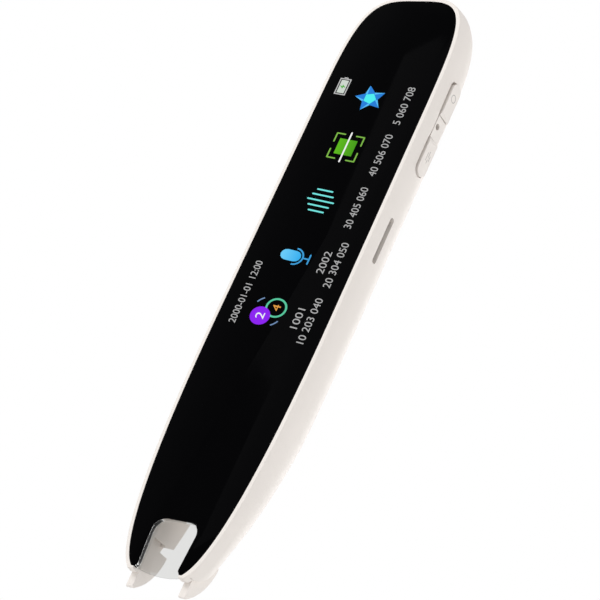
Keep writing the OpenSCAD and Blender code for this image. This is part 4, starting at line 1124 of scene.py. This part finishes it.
def area_lamp(name, place, aim, size, power):
    """Square lamp of that size in metres and power in watts, turned towards aim."""
    data = bpy.data.lights.new(name, "AREA")
    data.size = size
    data.energy = power
    lamp = bpy.data.objects.new(name, data)
    bpy.context.scene.collection.objects.link(lamp)
    way = np.array(aim, float) - np.array(place, float)
    way /= np.linalg.norm(way)
    side = np.cross(way, (0, 0, 1))
    side /= np.linalg.norm(side)
    up = np.cross(side, way)
    turn = Matrix([[side[i], up[i], -way[i], place[i]] for i in range(3)] + [[0, 0, 0, 1]])
    lamp.matrix_world = turn
    lamp.visible_camera = False
    return lamp


def ray_kinds(tree, *kinds):
    """One for a ray of one of these kinds, else zero."""
    rays = tree.nodes.new("ShaderNodeLightPath")
    value = rays.outputs[kinds[0]]
    for kind in kinds[1:]:
        either = tree.nodes.new("ShaderNodeMath")
        either.operation = "MAXIMUM"
        tree.links.new(value, either.inputs[0])
        tree.links.new(rays.outputs[kind], either.inputs[1])
        value = either.outputs[0]
    return value


def mixed(tree, share, first, second, output):
    """Mixes two shaders and leads them to the output node."""
    mix = tree.nodes.new("ShaderNodeMixShader")
    tree.links.new(share, mix.inputs["Fac"])
    tree.links.new(first, mix.inputs[1])
    tree.links.new(second, mix.inputs[2])
    tree.links.new(mix.outputs["Shader"], tree.nodes[output].inputs["Surface"])


def brighten(material, shader, share):
    """Lets a camera or glossy ray see that share of the surface as plain white."""
    tree = material.node_tree
    glow = tree.nodes.new("ShaderNodeEmission")
    amount = tree.nodes.new("ShaderNodeMath")
    amount.operation = "MULTIPLY"
    amount.inputs[1].default_value = share
    tree.links.new(ray_kinds(tree, "Is Camera Ray", "Is Glossy Ray"), amount.inputs[0])
    mixed(tree, amount.outputs[0], shader.outputs["BSDF"], glow.outputs["Emission"],
          "Material Output")


area_lamp("front_softbox", (-0.3, -0.95, 0.5), MIDDLE, 0.6, 4.9)
area_lamp("back_softbox", (0.15, 1.0, 0.3), MIDDLE, 0.6, 3.5)
area_lamp("side_fill", (0.95, 0.05, 0.25), MIDDLE, 0.7, 1.9)

world = bpy.data.worlds.new("studio")
bpy.context.scene.world = world
world.use_nodes = True
ambient = world.node_tree.nodes["Background"]
white = world.node_tree.nodes.new("ShaderNodeBackground")
for light, strength in ((ambient, 0.55), (white, 1.0)):
    light.inputs["Color"].default_value = (1, 1, 1, 1)
    light.inputs["Strength"].default_value = strength
seen = ray_kinds(world.node_tree, "Is Camera Ray", "Is Glossy Ray", "Is Transmission Ray")
mixed(world.node_tree, seen, ambient.outputs["Background"], white.outputs["Background"],
      "World Output")

floor_material, floor_shader = new_material("studio_floor", grey(0.93), 0.9, specular=0.1)
brighten(floor_material, floor_shader, 0.8)
floor_corners = [[x, y, FLOOR_Z] for x, y in box(-FLOOR_HALF, FLOOR_HALF, -FLOOR_HALF, FLOOR_HALF)]
floor = new_mesh("studio_floor", np.array(floor_corners), [[0, 1, 2, 3]])
floor.data.materials.append(floor_material)


def turn_matrix(x, y, z):
    """Rotation about the vector (x, y, z) by its length, in radians."""
    angle = math.sqrt(x * x + y * y + z * z)
    return np.array(Matrix.Rotation(angle, 3, (x / angle, y / angle, z / angle)))


lens_axes = turn_matrix(*VIEW_TURN)
camera_data = bpy.data.cameras.new("camera")
camera_data.lens = VIEW_LENS
camera_data.sensor_width = SENSOR
camera_data.clip_start = 0.01
camera = bpy.data.objects.new("camera", camera_data)
bpy.context.scene.collection.objects.link(camera)
place = np.array(VIEW_PLACE) * MM
camera.matrix_world = Matrix([*np.column_stack([lens_axes[0], -lens_axes[1], -lens_axes[2], place]),
                              [0, 0, 0, 1]])
bpy.context.scene.camera = camera
bpy.context.scene.view_settings.view_transform = "Standard"
